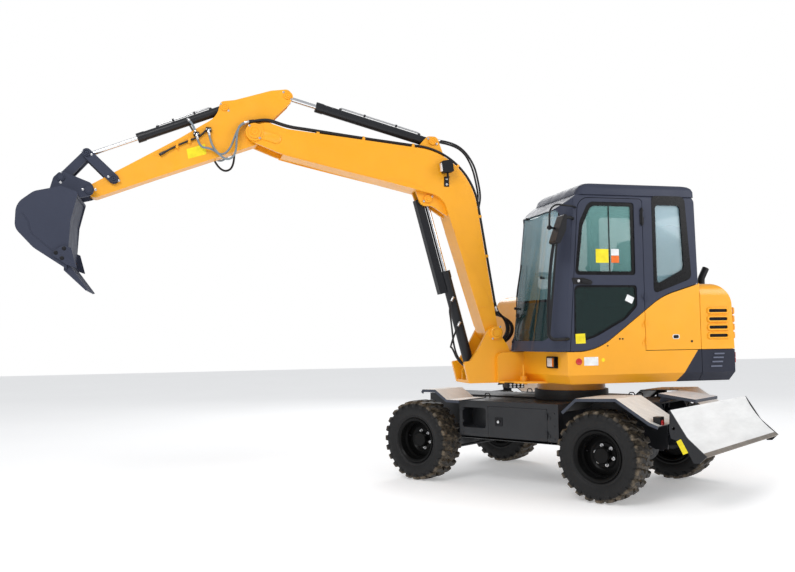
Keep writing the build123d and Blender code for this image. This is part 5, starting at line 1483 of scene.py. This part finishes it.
# ---------------------------------------------------------------- body
@dataclass(frozen=True)
class BodyTrim:
    """Louvre surrounds, latches, lamps, blank plates and the washer bottle of the superstructure."""

    side_y: float = 930.0
    tail_radius: float = 1590.0
    louvre_levels: tuple[float, ...] = (1480.0, 1560.0, 1640.0, 1720.0)
    louvre_turn: float = 26.0
    louvre_half: float = 152.0
    side_louvre: tuple[float, float] = (-1112.0, 102.0)
    flank_turn: float = 33.0
    latch: tuple[float, float] = (-650.0, 1474.0)
    bottle_middle: tuple[float, float] = (560.0, -111.0)

    def louvres(self) -> None:
        """Raised rounded surrounds, and black plates behind the slots as painted shade of the openings."""
        surrounds, shade_plates = Shape(), Shape()
        places = [(TailFace(self.tail_radius, turn), self.louvre_half, -20, -14)
                  for turn in (self.louvre_turn, -self.louvre_turn)]
        middle, half = self.side_louvre
        places += [(SideFace(self.side_y, side, middle), half, -4, 1.5) for side in (1, -1)]
        for face, half, low, high in places:
            for level in self.louvre_levels:
                outer = self.slot(level, half + 20, 36)
                brow = self.slot(level, half + 12, 27)
                inner = self.slot(level, half, 15.5)
                rings = [[face.place(*point, lift) for point in outline]
                         for outline, lift in ((outer, -3), (outer, 2), (brow, 13), (inner, 13), (inner, -6))]
                surrounds.loft(rings, closed=True)
                # black plates standing in for the shade inside the openings: painted shade
                shade_plates.loft([[face.place(*point, lift) for point in self.slot(level, half + 1, 16)]
                            for lift in (low, high)])
        surrounds.piece("louvre_surrounds", YELLOW_PAINT, "engine_hood", 50)
        shade_plates.piece("louvre_shade_plates", GASKET, "engine_hood")

    def slot(self, level: float, half: float, rise: float) -> list[tuple[float, float]]:
        """A rounded slot outline in lengths along the tail and heights."""
        return self.runs(rounded(oblong(-half, level - rise, half, level + rise), [rise * 0.9], 6))

    def runs(self, outline: Outline, longest: float = 30.0) -> list[tuple[float, float]]:
        """An outline with its long runs divided, so that it can follow a curved face.

        Args:
            outline: the outline.
            longest: the longest run left.

        Returns:
            The outline with more points.
        """
        points = []
        for i, here in enumerate(outline):
            there = outline[(i + 1) % len(outline)]
            span = (Vector(there) - Vector(here)).length
            count = max(1, int(span / longest + 0.5))
            points += [tuple(Vector(here).lerp(Vector(there), step / count)) for step in range(count)]
        return points

    def latches(self) -> None:
        """The fuel door's oval latch with its pale ring, and the round locks."""
        left = Shape()
        x, z = self.latch
        ring_out = rounded(oblong(x + 38, z - 22, x - 38, z + 22), [21], 8)
        ring_in = rounded(oblong(x + 29, z - 16, x - 29, z + 16), [16], 8)
        left.border(ring_out, ring_in, Face.SIDE, self.side_y - 1, self.side_y + 3)
        left.piece("side_latch_ring", WHITE_PLASTIC, "left_side_door")
        dark = Shape()
        dark.plate(ring_in, Face.SIDE, self.side_y - 1, self.side_y + 2)
        dark.turned([(11, 0), (11, 4), (8, 6), (3, 6)], (-820, self.side_y, 1428), (0, 1, 0), 20)
        dark.turned([(7, 0), (7, 4), (4, 6)], (x, self.side_y + 2, z), (0, 1, 0), 16)
        dark.piece("side_latches", BLACK_PLASTIC, "left_side_door")
        sill = Shape()
        for lock_x in (-55, -85):
            sill.turned([(8, 0), (8, 4), (5, 6)], (lock_x, self.side_y, 1461), (0, 1, 0), 20)
        sill.turned([(7, 0), (7, 3), (4, 4)], (72, self.side_y, 1398), (0, 1, 0), 20)
        sill.piece("sill_locks", BLACK_PLASTIC, "upper")
        right = Shape()
        right.plate(rounded(oblong(-560, 1560, -640, 1600), [16]), Face.SIDE,
                    -self.side_y, -self.side_y - 4, 2)
        right.piece("right_door_latch", BLACK_PLASTIC, "right_side_door")

    def plates(self) -> None:
        """The blank white plate, the red reflector, the small round sign and the tail's flank lamps."""
        plate = Shape()
        plate.plate(rounded(oblong(173, 1218, 316, 1297), [4]), Face.SIDE, self.side_y, self.side_y + 2)
        plate.piece("blank_number_plate", WHITE_LABEL, "upper")
        reflector = Shape()
        reflector.turned([(31, 0), (31, 4), (27, 8), (14, 10), (0, 10.5)],
                         (369, self.side_y, 1256), (0, 1, 0), 36)
        reflector.piece("side_reflector", RED_LENS, "upper")
        sign = Shape()
        sign.turned([(17, 0), (17, 1.4)], (122, self.side_y, 1268), (0, 1, 0), 28)
        sign.piece("round_sign", YELLOW_LABEL, "upper")
        tail = Shape()
        for turn in (self.flank_turn, -self.flank_turn):
            face = TailFace(self.tail_radius, turn)
            for centre in (1290, 1238):
                outline = self.runs(rounded(oblong(-26, centre - 24, 26, centre + 24), [10]), 12)
                tail.loft([[face.place(*point, lift) for point in outline] for lift in (-4, 8)])
        tail.piece("tail_flank_lamps", RED_LENS, "upper")

    def headlamps(self) -> None:
        """Fluted lenses with an orange strip, in black frames."""
        inverse = UPPER.matrix().inverted()
        low, high = (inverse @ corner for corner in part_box("headlamps"))
        front = high.x
        foot, head = low.z + 14, high.z - 14
        near, far = high.y - 162, high.y - 12
        split = far - 44
        for side, word in ((1, "left"), (-1, "right")):
            for name, finish, a, b in (("headlamp_lens", WHITE_LENS, near, split - 4),
                                       ("indicator_lens", ORANGE_LENS, split, far)):
                lens = Shape()
                lens.plate(rounded(oblong(side * a, foot, side * b, head), [8]), Face.CROSS,
                           front - 4, front + 7, 4)
                lens.piece(f"{name}_{word}", finish, "upper")
            ring = Shape()
            outer = oblong(side * (near - 8), low.z + 4, side * (far + 8), high.z - 4)
            inner = oblong(side * (near - 1), foot - 2, side * (far + 1), head + 2)
            ring.border(rounded(outer, [8]), rounded(inner, [8]), Face.CROSS, front - 2, front + 10)
            ring.piece(f"headlamp_frame_{word}", BLACK_PLASTIC, "upper")

    def bottle(self) -> None:
        """The washer bottle behind the boom's foot, with its cap."""
        x, y = self.bottle_middle
        outline = rounded(oblong(x - 32, y - 55, x + 32, y + 55), [18])
        inset = rounded(oblong(x - 20, y - 43, x + 20, y + 43), [14])
        body, cap = Shape(), Shape()
        body.loft([[Face.PLAN.place(*point, z) for point in shape]
                   for shape, z in ((inset, 1074), (outline, 1084), (outline, 1396), (inset, 1412))])
        body.turned([(20, 1410), (20, 1422)], (x, y, 0), (0, 0, 1), 24)
        body.piece("washer_bottle", WHITE_PLASTIC, "upper")
        cap.turned([(26, 1418), (26, 1440), (22, 1444)], (x, y, 0), (0, 0, 1), 28)
        cap.piece("washer_bottle_cap", RED_LENS, "upper")

    def manifold(self) -> None:
        """The hose manifold under the platform's front edge, with its unions."""
        block = Shape()
        block.plate(rounded(oblong(680, 250, 860, 380), [10]), Face.PLAN, 1046, 992, 6)
        block.piece("floor_manifold", BLACK_PLASTIC, "upper")
        unions = Shape()
        for x in (710, 750, 790, 830):
            for z in (1008, 1030):
                unions.turned([(11, -4), (11, 14), (8, 16), (8, 26)], (x, 380, z), (0, 1, 0), 6)
        unions.piece("floor_manifold_unions", BRIGHT_STEEL, "upper")

    def build(self) -> None:
        """Dresses the superstructure."""
        self.louvres()
        self.latches()
        self.plates()
        self.headlamps()
        self.bottle()
        self.manifold()


@dataclass(frozen=True)
class TailFace:
    """The tail's round face; lengths run along it from a middle turned from straight back."""

    radius: float
    middle: float

    def place(self, along: float, height: float, lift: float) -> Vector:
        """The point at a length along the face and a height, lifted off it."""
        turn = pi - radians(self.middle) + along / self.radius
        return Vector(((self.radius + lift) * cos(turn), (self.radius + lift) * sin(turn), height))


@dataclass(frozen=True)
class SideFace:
    """A flat side of the superstructure; lengths run along it from a middle."""

    side_y: float
    side: int
    middle: float

    def place(self, along: float, height: float, lift: float) -> Vector:
        """The point at a length along the face and a height, lifted off it."""
        return Vector((self.middle - along, self.side * (self.side_y + lift), height))


# ---------------------------------------------------------------- boom and arm
@dataclass(frozen=True)
class RamPipe:
    """The steel pipe that runs along a ram's barrel to its gland, with its clamps and fittings."""

    name: str
    base: tuple[float, float]
    eye: tuple[float, float]
    body: str
    off: float
    start: float
    end: float
    side: int = 1
    radius: float = 8.0

    def build(self) -> None:
        """Makes the pipe, two clamp bands and the end fittings."""
        a, b = Vector((self.base[0], 0, self.base[1])), Vector((self.eye[0], 0, self.eye[1]))
        aim = (b - a).normalized()
        up = Vector((-aim.z, 0, aim.x)) * self.side

        def spot(along: float, lift: float) -> Vector:
            """A point beside the barrel."""
            return a + aim * along + up * lift

        pipe = Shape()
        run = self.off + self.radius + 5
        pipe.tube([spot(self.start, self.off - 6), spot(self.start, run - 8), spot(self.start + 8, run),
                   spot(self.end - 8, run), spot(self.end, run - 8), spot(self.end, self.off - 6)],
                  self.radius, 12)
        pipe.piece(f"{self.name}_pipe", BRIGHT_STEEL, self.body)
        trim = Shape()
        for along in (self.start, self.end):
            trim.turned([(self.radius + 7, -8), (self.radius + 7, 4), (self.radius + 3, 6),
                         (self.radius + 3, 11)],
                        tuple(spot(along, self.off)), tuple(up), 6)
        for share in (0.3, 0.7):
            middle = spot(self.start + (self.end - self.start) * share, run)
            trim.turned([(self.radius + 5, -9), (self.radius + 5, 9)], tuple(middle), tuple(aim), 18)
        trim.piece(f"{self.name}_pipe_fittings", AXLE_IRON, self.body)


@dataclass(frozen=True)
class BoomTrim:
    """The tongue plates behind the boom's tip pin, weld beads, hose clamps, the lamp's lens and labels."""

    half: float = 135.0
    pin: tuple[float, float] = (3254.0, 3450.0)
    tongue_end: tuple[float, float] = (3046.0, 3392.0)
    tongue_radius: float = 44.0
    tongue_rise: float = 9.0
    line_ys: tuple[float, ...] = (-104, -22, 22, 104)
    bolt_ys: tuple[float, ...] = (-63, 0, 63)
    line_height: float = 26.0
    lamp_y: float = 195.0
    # x and z of the lamp's front face, top and foot
    lamp_face: tuple[tuple[float, float], tuple[float, float]] = ((1440, 3228), (1424, 3112))
    # x, z, lean in degrees of the places along the back where the lines are clamped
    clamps: tuple[tuple[float, float, float], ...] = (
        (966.5, 2300, 80.9), (1030.7, 2700, 80.9), (1248.9, 3191.5, 43.2), (1700, 3373.4, 5.5),
        (2200, 3422.1, 5.5))

    def tongues(self) -> None:
        """A raised plate from the pin back along each side."""
        a, b = Vector(self.pin), Vector(self.tongue_end)
        aim = (b - a).normalized()
        first = Vector((-aim.y, aim.x))
        outline = []
        steps = 12
        for centre, start in ((b, 0.0), (a, pi)):
            for step in range(steps + 1):
                turn = start + pi * step / steps
                outline.append(tuple(centre + (first * cos(turn) + aim * sin(turn)) * self.tongue_radius))
        plates = Shape()
        for side in (1, -1):
            plates.plate(outline, Face.SIDE, side * self.half, side * (self.half + self.tongue_rise), 4)
        plates.piece("boom_tip_plates", YELLOW_PAINT, "boom", 50)

    def beads(self) -> None:
        """Weld beads along the lower edges of the boom's sides."""
        bead = Shape()
        for side in (1, -1):
            y = side * (self.half + 1)
            bead.tube([(2020, y, 3036), (2400, y, 3118), (2800, y, 3206), (3000, y, 3254)], 5, 8)
            bead.tube([(1000, y, 1600), (1120, y, 1984), (1180, y, 2180)], 5, 8)
        bead.piece("boom_weld_beads", YELLOW_PAINT, "boom")

    def hose_clamps(self) -> None:
        """Bridges over the hoses on the boom's back, each with its bolts."""
        bridges, bolts = Shape(), Shape()
        for x, z, lean in self.clamps:
            slope = radians(lean)
            out = Vector((-sin(slope), 0, cos(slope)))
            along = Vector((cos(slope), 0, sin(slope)))
            for y in self.line_ys:
                rings = []
                for shift in (-9, 9):
                    middle = Vector((x, y, z)) + out * self.line_height + along * shift
                    ring = []
                    for radius, turns in ((16.5, range(9)), (13.2, range(8, -1, -1))):
                        ring += [middle + (Vector((0, 1, 0)) * cos(pi * k / 8)
                                           + out * sin(pi * k / 8)) * radius
                                 for k in turns]
                    rings.append(ring)
                bridges.loft(rings)
            for y in self.bolt_ys:
                bolts.bolt(tuple(Vector((x, y, z)) + out * self.line_height), tuple(out), 7, 6)
        bridges.piece("hose_clamps", YELLOW_PAINT, "boom")
        bolts.piece("hose_clamp_bolts", BRIGHT_STEEL, "boom")

    def lamp(self) -> None:
        """The work lamp's lens and its bracket's bolts."""
        lens = Shape()
        top, foot = (Face.SIDE.place(*point, self.lamp_y) for point in self.lamp_face)
        down = (foot - top).normalized()
        out = Vector((-down.z, 0, down.x))
        lens.loft([[(top + foot) / 2 + out * lift + down * u * share + Vector((0, v * share, 0))
                    for u, v in rounded(oblong(-42, -28, 42, 28), [8])]
                   for lift, share in ((0, 1.0), (5, 1.0), (9, 0.86))])
        lens.piece("work_lamp_lens", WHITE_LENS, "boom")
        bolts = Shape()
        for z in (3012, 3068):
            bolts.bolt((1365, self.half + 6, z), (0, 1, 0), 9, 8)
        bolts.piece("lamp_bracket_bolts", BRIGHT_STEEL, "boom")

    def labels(self) -> None:
        """Blank labels on the arm's sides."""
        label = Shape()
        for side in (1, -1):
            label.plate(rounded([(3694, 3234), (3860, 3182), (3875, 3273), (3708, 3330)], [5], 3), Face.SIDE,
                        side * 80, side * 81.2)
        label.piece("arm_labels", YELLOW_LABEL, "arm")

    def build(self) -> None:
        """Dresses the boom."""
        self.tongues()
        self.beads()
        self.hose_clamps()
        self.lamp()
        self.labels()


# ---------------------------------------------------------------- undercarriage and blade
@dataclass(frozen=True)
class UnderTrim:
    """Undercarriage bolts, deck loops, latch and tail lenses, and the blade's strip and labels."""

    deck_z: float = 866.0
    blade_half: float = 950.0
    edge_half: float = 934.0
    edge_bolts: int = 9
    edge_pitch: float = 200.0
    box_y: float = 800.0
    latch_middle: tuple[float, float] = (370.0, 651.0)
    ring_bolts: int = 28
    ring_radius: float = 352.0
    ring_z: float = 893.0

    def blade(self) -> None:
        """The wear strip along the cutting edge, its bolts, and a blank label on each side plate."""
        strip, bolts, labels = Shape(CHASSIS), Shape(CHASSIS), Shape(CHASSIS)
        outline = [(-1722, 522), (-1755, 496), (-1749, 489), (-1716, 514)]
        strip.plate(outline, Face.SIDE, -self.edge_half, self.edge_half)
        strip.piece("blade_wear_strip", WORN_STEEL, "blade")
        for step in range(self.edge_bolts):
            y = (step - (self.edge_bolts - 1) / 2) * self.edge_pitch
            bolts.bolt((-1700, y, 512), (0.62, 0, -0.78), 10, 8)
        bolts.piece("blade_strip_bolts", AXLE_IRON, "blade")
        for side in (1, -1):
            labels.plate(rounded([(-1540, 628), (-1598, 520), (-1556, 500), (-1500, 606)], [4], 3), Face.SIDE,
                         side * self.blade_half, side * (self.blade_half + 1.2))
        labels.piece("blade_labels", YELLOW_LABEL, "blade")

    def tail_lenses(self) -> None:
        """A red lens on the rear of each tail lamp."""
        lens = Shape(CHASSIS)
        for side in (1, -1):
            lens.turned([(24, -2), (25, 6), (22, 11), (12, 13), (0, 13.5)], (-1334, side * 840, 742),
                        (-1, 0, 0), 32)
        lens.piece("tail_lamp_lenses", RED_LENS, "chassis")

    def hooks(self) -> None:
        """Bent steel loops on the deck, three each side."""
        loops = Shape(CHASSIS)
        bend = ((-30, -16), (-30, 16), (-18, 30), (18, 30), (30, 16), (30, -16))
        for x, y in ((-560, 420), (-470, 420), (-560, -420), (-470, -420), (760, 420), (760, -420)):
            loops.tube([(x + along, y, self.deck_z + rise) for along, rise in bend], 6, 10)
        loops.piece("deck_loops", AXLE_IRON, "chassis")

    def latch(self) -> None:
        """The tool box door's recessed latch with its bright knob."""
        plate, knob = Shape(CHASSIS), Shape(CHASSIS)
        x, z = self.latch_middle
        square = rounded(oblong(x - 44, z - 44, x + 44, z + 44), [9])
        dish = rounded(oblong(x - 34, z - 34, x + 34, z + 34), [7])
        plate.border(square, dish, Face.SIDE, self.box_y - 2, self.box_y + 4)
        plate.plate(dish, Face.SIDE, self.box_y - 3, self.box_y + 1)
        plate.piece("tool_box_latch", BLACK_PLASTIC, "tool_box_door")
        knob.turned([(11, 0), (11, 8), (14, 10), (14, 16), (9, 19)], (x, self.box_y + 1, z), (0, 1, 0), 24)
        knob.piece("tool_box_latch_knob", BRIGHT_STEEL, "tool_box_door")

    def bolts(self) -> None:
        """The slewing ring's bolt circle and the bolts on the boxes."""
        ring, boxes = Shape(), Shape(CHASSIS)
        for step in range(self.ring_bolts):
            turn = 2 * pi * (step + 0.5) / self.ring_bolts
            ring.bolt((self.ring_radius * cos(turn), self.ring_radius * sin(turn), self.ring_z),
                      (0, 0, 1), 11, 12)
        ring.piece("slewing_ring_bolts", AXLE_IRON, "chassis")
        for side in (1, -1):
            for x in (-255, 805):
                for z in (520, 640, 760):
                    boxes.bolt((x, side * self.box_y, z), (0, side, 0), 8, 6)
        boxes.piece("box_bolts", AXLE_IRON, "chassis")

    def build(self) -> None:
        """Dresses the undercarriage."""
        self.blade()
        self.tail_lenses()
        self.hooks()
        self.latch()
        self.bolts()


# ---------------------------------------------------------------- seat
@dataclass(frozen=True)
class Seat:
    """The operator's seat: blown cushions in cloth, with seams, in place of the plain one."""

    voxel: float = 0.006
    pressure: float = 4.0
    cap: float = 0.014
    frames: int = 20
    fill: float = 0.75
    middle_y: float = 450.0
    seam_y: float = 150.0
    seams: tuple[tuple[tuple[float, float], ...], ...] = (
        ((-270, 1890), (-120, 1903), (40, 1905), (180, 1894)),
        ((-318, 1925), (-345, 2080), (-378, 2280), (-412, 2440)))

    def block(self, name: str, outline: Outline, low: float, high: float) -> bpy.types.Object:
        """A cushion's blank: a rounded form a little smaller than the cushion.

        Args:
            name: the piece's name.
            outline: its side view.
            low: its right side.
            high: its left side.

        Returns:
            The object.
        """
        middle = sum((Vector(point) for point in outline), Vector((0, 0))) / len(outline)
        shape = Shape()
        rings = []
        for level, share in ((low, 0.86), (low + 22, 0.98), (low + 60, 1.0),
                             (high - 60, 1.0), (high - 22, 0.98),
                             (high, 0.86)):
            rings.append([Face.SIDE.place(*(middle + (Vector(point) - middle) * share), level)
                          for point in outline])
        shape.loft(rings)
        return shape.piece(name, SEAT_CLOTH, "upper", 180)

    def swell(self, piece: bpy.types.Object) -> None:
        """Blows the cushion up as cloth, held within the cap.

        Args:
            piece: the cushion.
        """
        scene = bpy.context.scene
        remesh = piece.modifiers.new("even", "REMESH")
        remesh.mode, remesh.voxel_size = "VOXEL", self.voxel * 1
        self.apply(piece)
        before = [vertex.co.copy() for vertex in piece.data.vertices]
        cloth = piece.modifiers.new("cloth", "CLOTH")
        cloth.settings.use_pressure = True
        cloth.settings.uniform_pressure_force = self.pressure
        cloth.settings.effector_weights.gravity = 0.0
        cloth.point_cache.frame_end = self.frames
        for step in range(1, self.frames + 1):
            scene.frame_set(step)
        self.apply(piece)
        scene.frame_set(1)
        for vertex, was in zip(piece.data.vertices, before):
            moved = vertex.co - was
            if moved.length > self.cap:
                vertex.co = was + moved.normalized() * self.cap
        smooth = piece.modifiers.new("smooth", "SUBSURF")
        smooth.levels = smooth.render_levels = 1
        self.apply(piece)
        piece.data.polygons.foreach_set("use_smooth", [True] * len(piece.data.polygons))

    def apply(self, piece: bpy.types.Object) -> None:
        """Turns the piece's modifiers into its mesh.

        Args:
            piece: the object with the modifiers.
        """
        graph = bpy.context.evaluated_depsgraph_get()
        graph.update()
        made = bpy.data.meshes.new_from_object(piece.evaluated_get(graph))
        piece.modifiers.clear()
        piece.data = made

    def build(self) -> None:
        """Makes the cushion and the backrest."""
        base = [(-282, 1812), (190, 1812), (192, 1884), (-282, 1876)]
        cushion = self.block("seat_cushion", rounded(base, [20, 26, 38, 20]), 222, 678)
        upright = [(-316, 1909), (-406, 1909), (-506, 2446), (-444, 2464)]
        back = self.block("seat_backrest", rounded(upright, [24, 30, 36, 36]), 234, 666)
        for piece in (cushion, back):
            self.swell(piece)
        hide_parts("operator_seat")
        piping = Shape()
        for side in (1, -1):
            for seam in self.seams:
                piping.tube([(x, self.middle_y + side * self.seam_y, z) for x, z in seam], 4, 8)
        piping.piece("seat_piping", BLACK_PLASTIC, "upper")


# ---------------------------------------------------------------- studio
@dataclass(frozen=True)
class Studio:
    """Pale floor, soft lights and the camera."""

    eye: Point = (2.202, 8.123, 1.535)
    heading: float = -104.57
    pitch: float = 3.22
    roll: float = 0.75
    focal: float = 850.3            # in widths of the view's own grid
    sensor: float = 36.0
    floor_half: float = 30.0
    target: Point = (0.0, 0.0, 1.6)
    # name, place in metres, width across, power
    lamps: tuple[tuple[str, Point, float, float], ...] = (
        ("key", (5.5, 7.0, 8.0), 5.0, 460.0),
        ("fill", (-7.5, 6.0, 5.5), 6.0, 330.0),
        ("rim", (-3.0, -8.0, 6.5), 5.0, 220.0))

    def camera(self) -> None:
        """Stands the camera where the view is taken from."""
        heading, pitch, roll = radians(self.heading), radians(self.pitch), radians(self.roll)
        ahead = Vector((cos(heading) * cos(pitch), sin(heading) * cos(pitch), sin(pitch)))
        right = ahead.cross(Vector((0, 0, 1))).normalized()
        up = right.cross(ahead)
        tilted = right * cos(roll) - up * sin(roll)
        upright = right * sin(roll) + up * cos(roll)
        data = bpy.data.cameras.new("camera")
        data.sensor_width = self.sensor
        data.lens = self.focal * self.sensor / VIEW_WIDTH
        data.clip_end = 200.0
        camera = bpy.data.objects.new("camera", data)
        bpy.context.scene.collection.objects.link(camera)
        turn = Matrix((tilted, upright, -ahead)).transposed().to_4x4()
        camera.matrix_world = Matrix.Translation(Vector(self.eye)) @ turn
        bpy.context.scene.camera = camera

    def floor(self) -> None:
        """Lays the pale floor."""
        mesh = bmesh.new()
        bmesh.ops.create_grid(mesh, x_segments=8, y_segments=8, size=self.floor_half)
        data = bpy.data.meshes.new("floor")
        mesh.to_mesh(data)
        mesh.free()
        graph = Graph("floor_white")
        cloud = graph.ramp(graph.noise(0.5, 2.0), 0.3, 0.7)
        graph.shade(Base_Color=graph.mix(cloud, (0.92, 0.92, 0.92), (0.95, 0.95, 0.95)), Roughness=0.9,
                    Emission_Color=(1.0, 1.0, 1.0, 1.0), Emission_Strength=0.3)
        data.materials.append(graph.material)
        floor = bpy.data.objects.new("floor", data)
        bpy.context.scene.collection.objects.link(floor)

    def lights(self) -> None:
        """Hangs three soft lights in a white surround."""
        world = bpy.data.worlds.new("surround")
        world.use_nodes = True
        nodes, links = world.node_tree.nodes, world.node_tree.links
        soft = nodes["Background"]
        soft.inputs["Color"].default_value = (0.95, 0.97, 1.0, 1.0)
        soft.inputs["Strength"].default_value = 0.5
        paper = nodes.new("ShaderNodeBackground")
        paper.inputs["Color"].default_value = (1.0, 1.0, 1.0, 1.0)
        seen, choice = nodes.new("ShaderNodeLightPath"), nodes.new("ShaderNodeMixShader")
        links.new(seen.outputs["Is Camera Ray"], choice.inputs["Fac"])
        links.new(soft.outputs["Background"], choice.inputs[1])
        links.new(paper.outputs["Background"], choice.inputs[2])
        links.new(choice.outputs["Shader"], nodes["World Output"].inputs["Surface"])
        bpy.context.scene.world = world
        for name, place, size, power in self.lamps:
            data = bpy.data.lights.new(name, "AREA")
            data.shape, data.size, data.energy = "DISK", size, power
            light = bpy.data.objects.new(name, data)
            aim = (Vector(self.target) - Vector(place)).to_track_quat("-Z", "Y")
            light.matrix_world = Matrix.Translation(Vector(place)) @ aim.to_matrix().to_4x4()
            bpy.context.scene.collection.objects.link(light)

    def build(self) -> None:
        """Sets the whole studio."""
        self.camera()
        self.floor()
        self.lights()
        bpy.context.scene.view_settings.view_transform = "Standard"


# ---------------------------------------------------------------- the whole machine
def main() -> None:
    """Dresses the frame, piece by piece, and stands it in the studio."""
    logging.basicConfig(level=logging.INFO, format="%(message)s", stream=sys.stdout)
    Studio().build()
    dress_nodes()
    for place in ("front_left", "front_right", "rear_left", "rear_right"):
        Wheel(place, place.endswith("left"), f"wheel_{place}").build()
    for hose in foot_hoses() + arm_ram_hoses() + boom_ram_hoses() + tip_hoses():
        hose.build()
    for pins in PIN_SETS:
        pins.build()
    for part in (RamPipe("arm_ram", (1490, 3452), (2934, 3832), "arm_ram_barrel", 52, 130, 960),
                 RamPipe("bucket_ram", (3527, 3688), (4747, 3199), "bucket_ram_barrel", 44, 120, 640),
                 ArmFittings(), BucketTrim(), CabTrim(), BodyTrim(), BoomTrim(), UnderTrim(), Seat()):
        part.build()


if __name__ == "__main__":
    main()
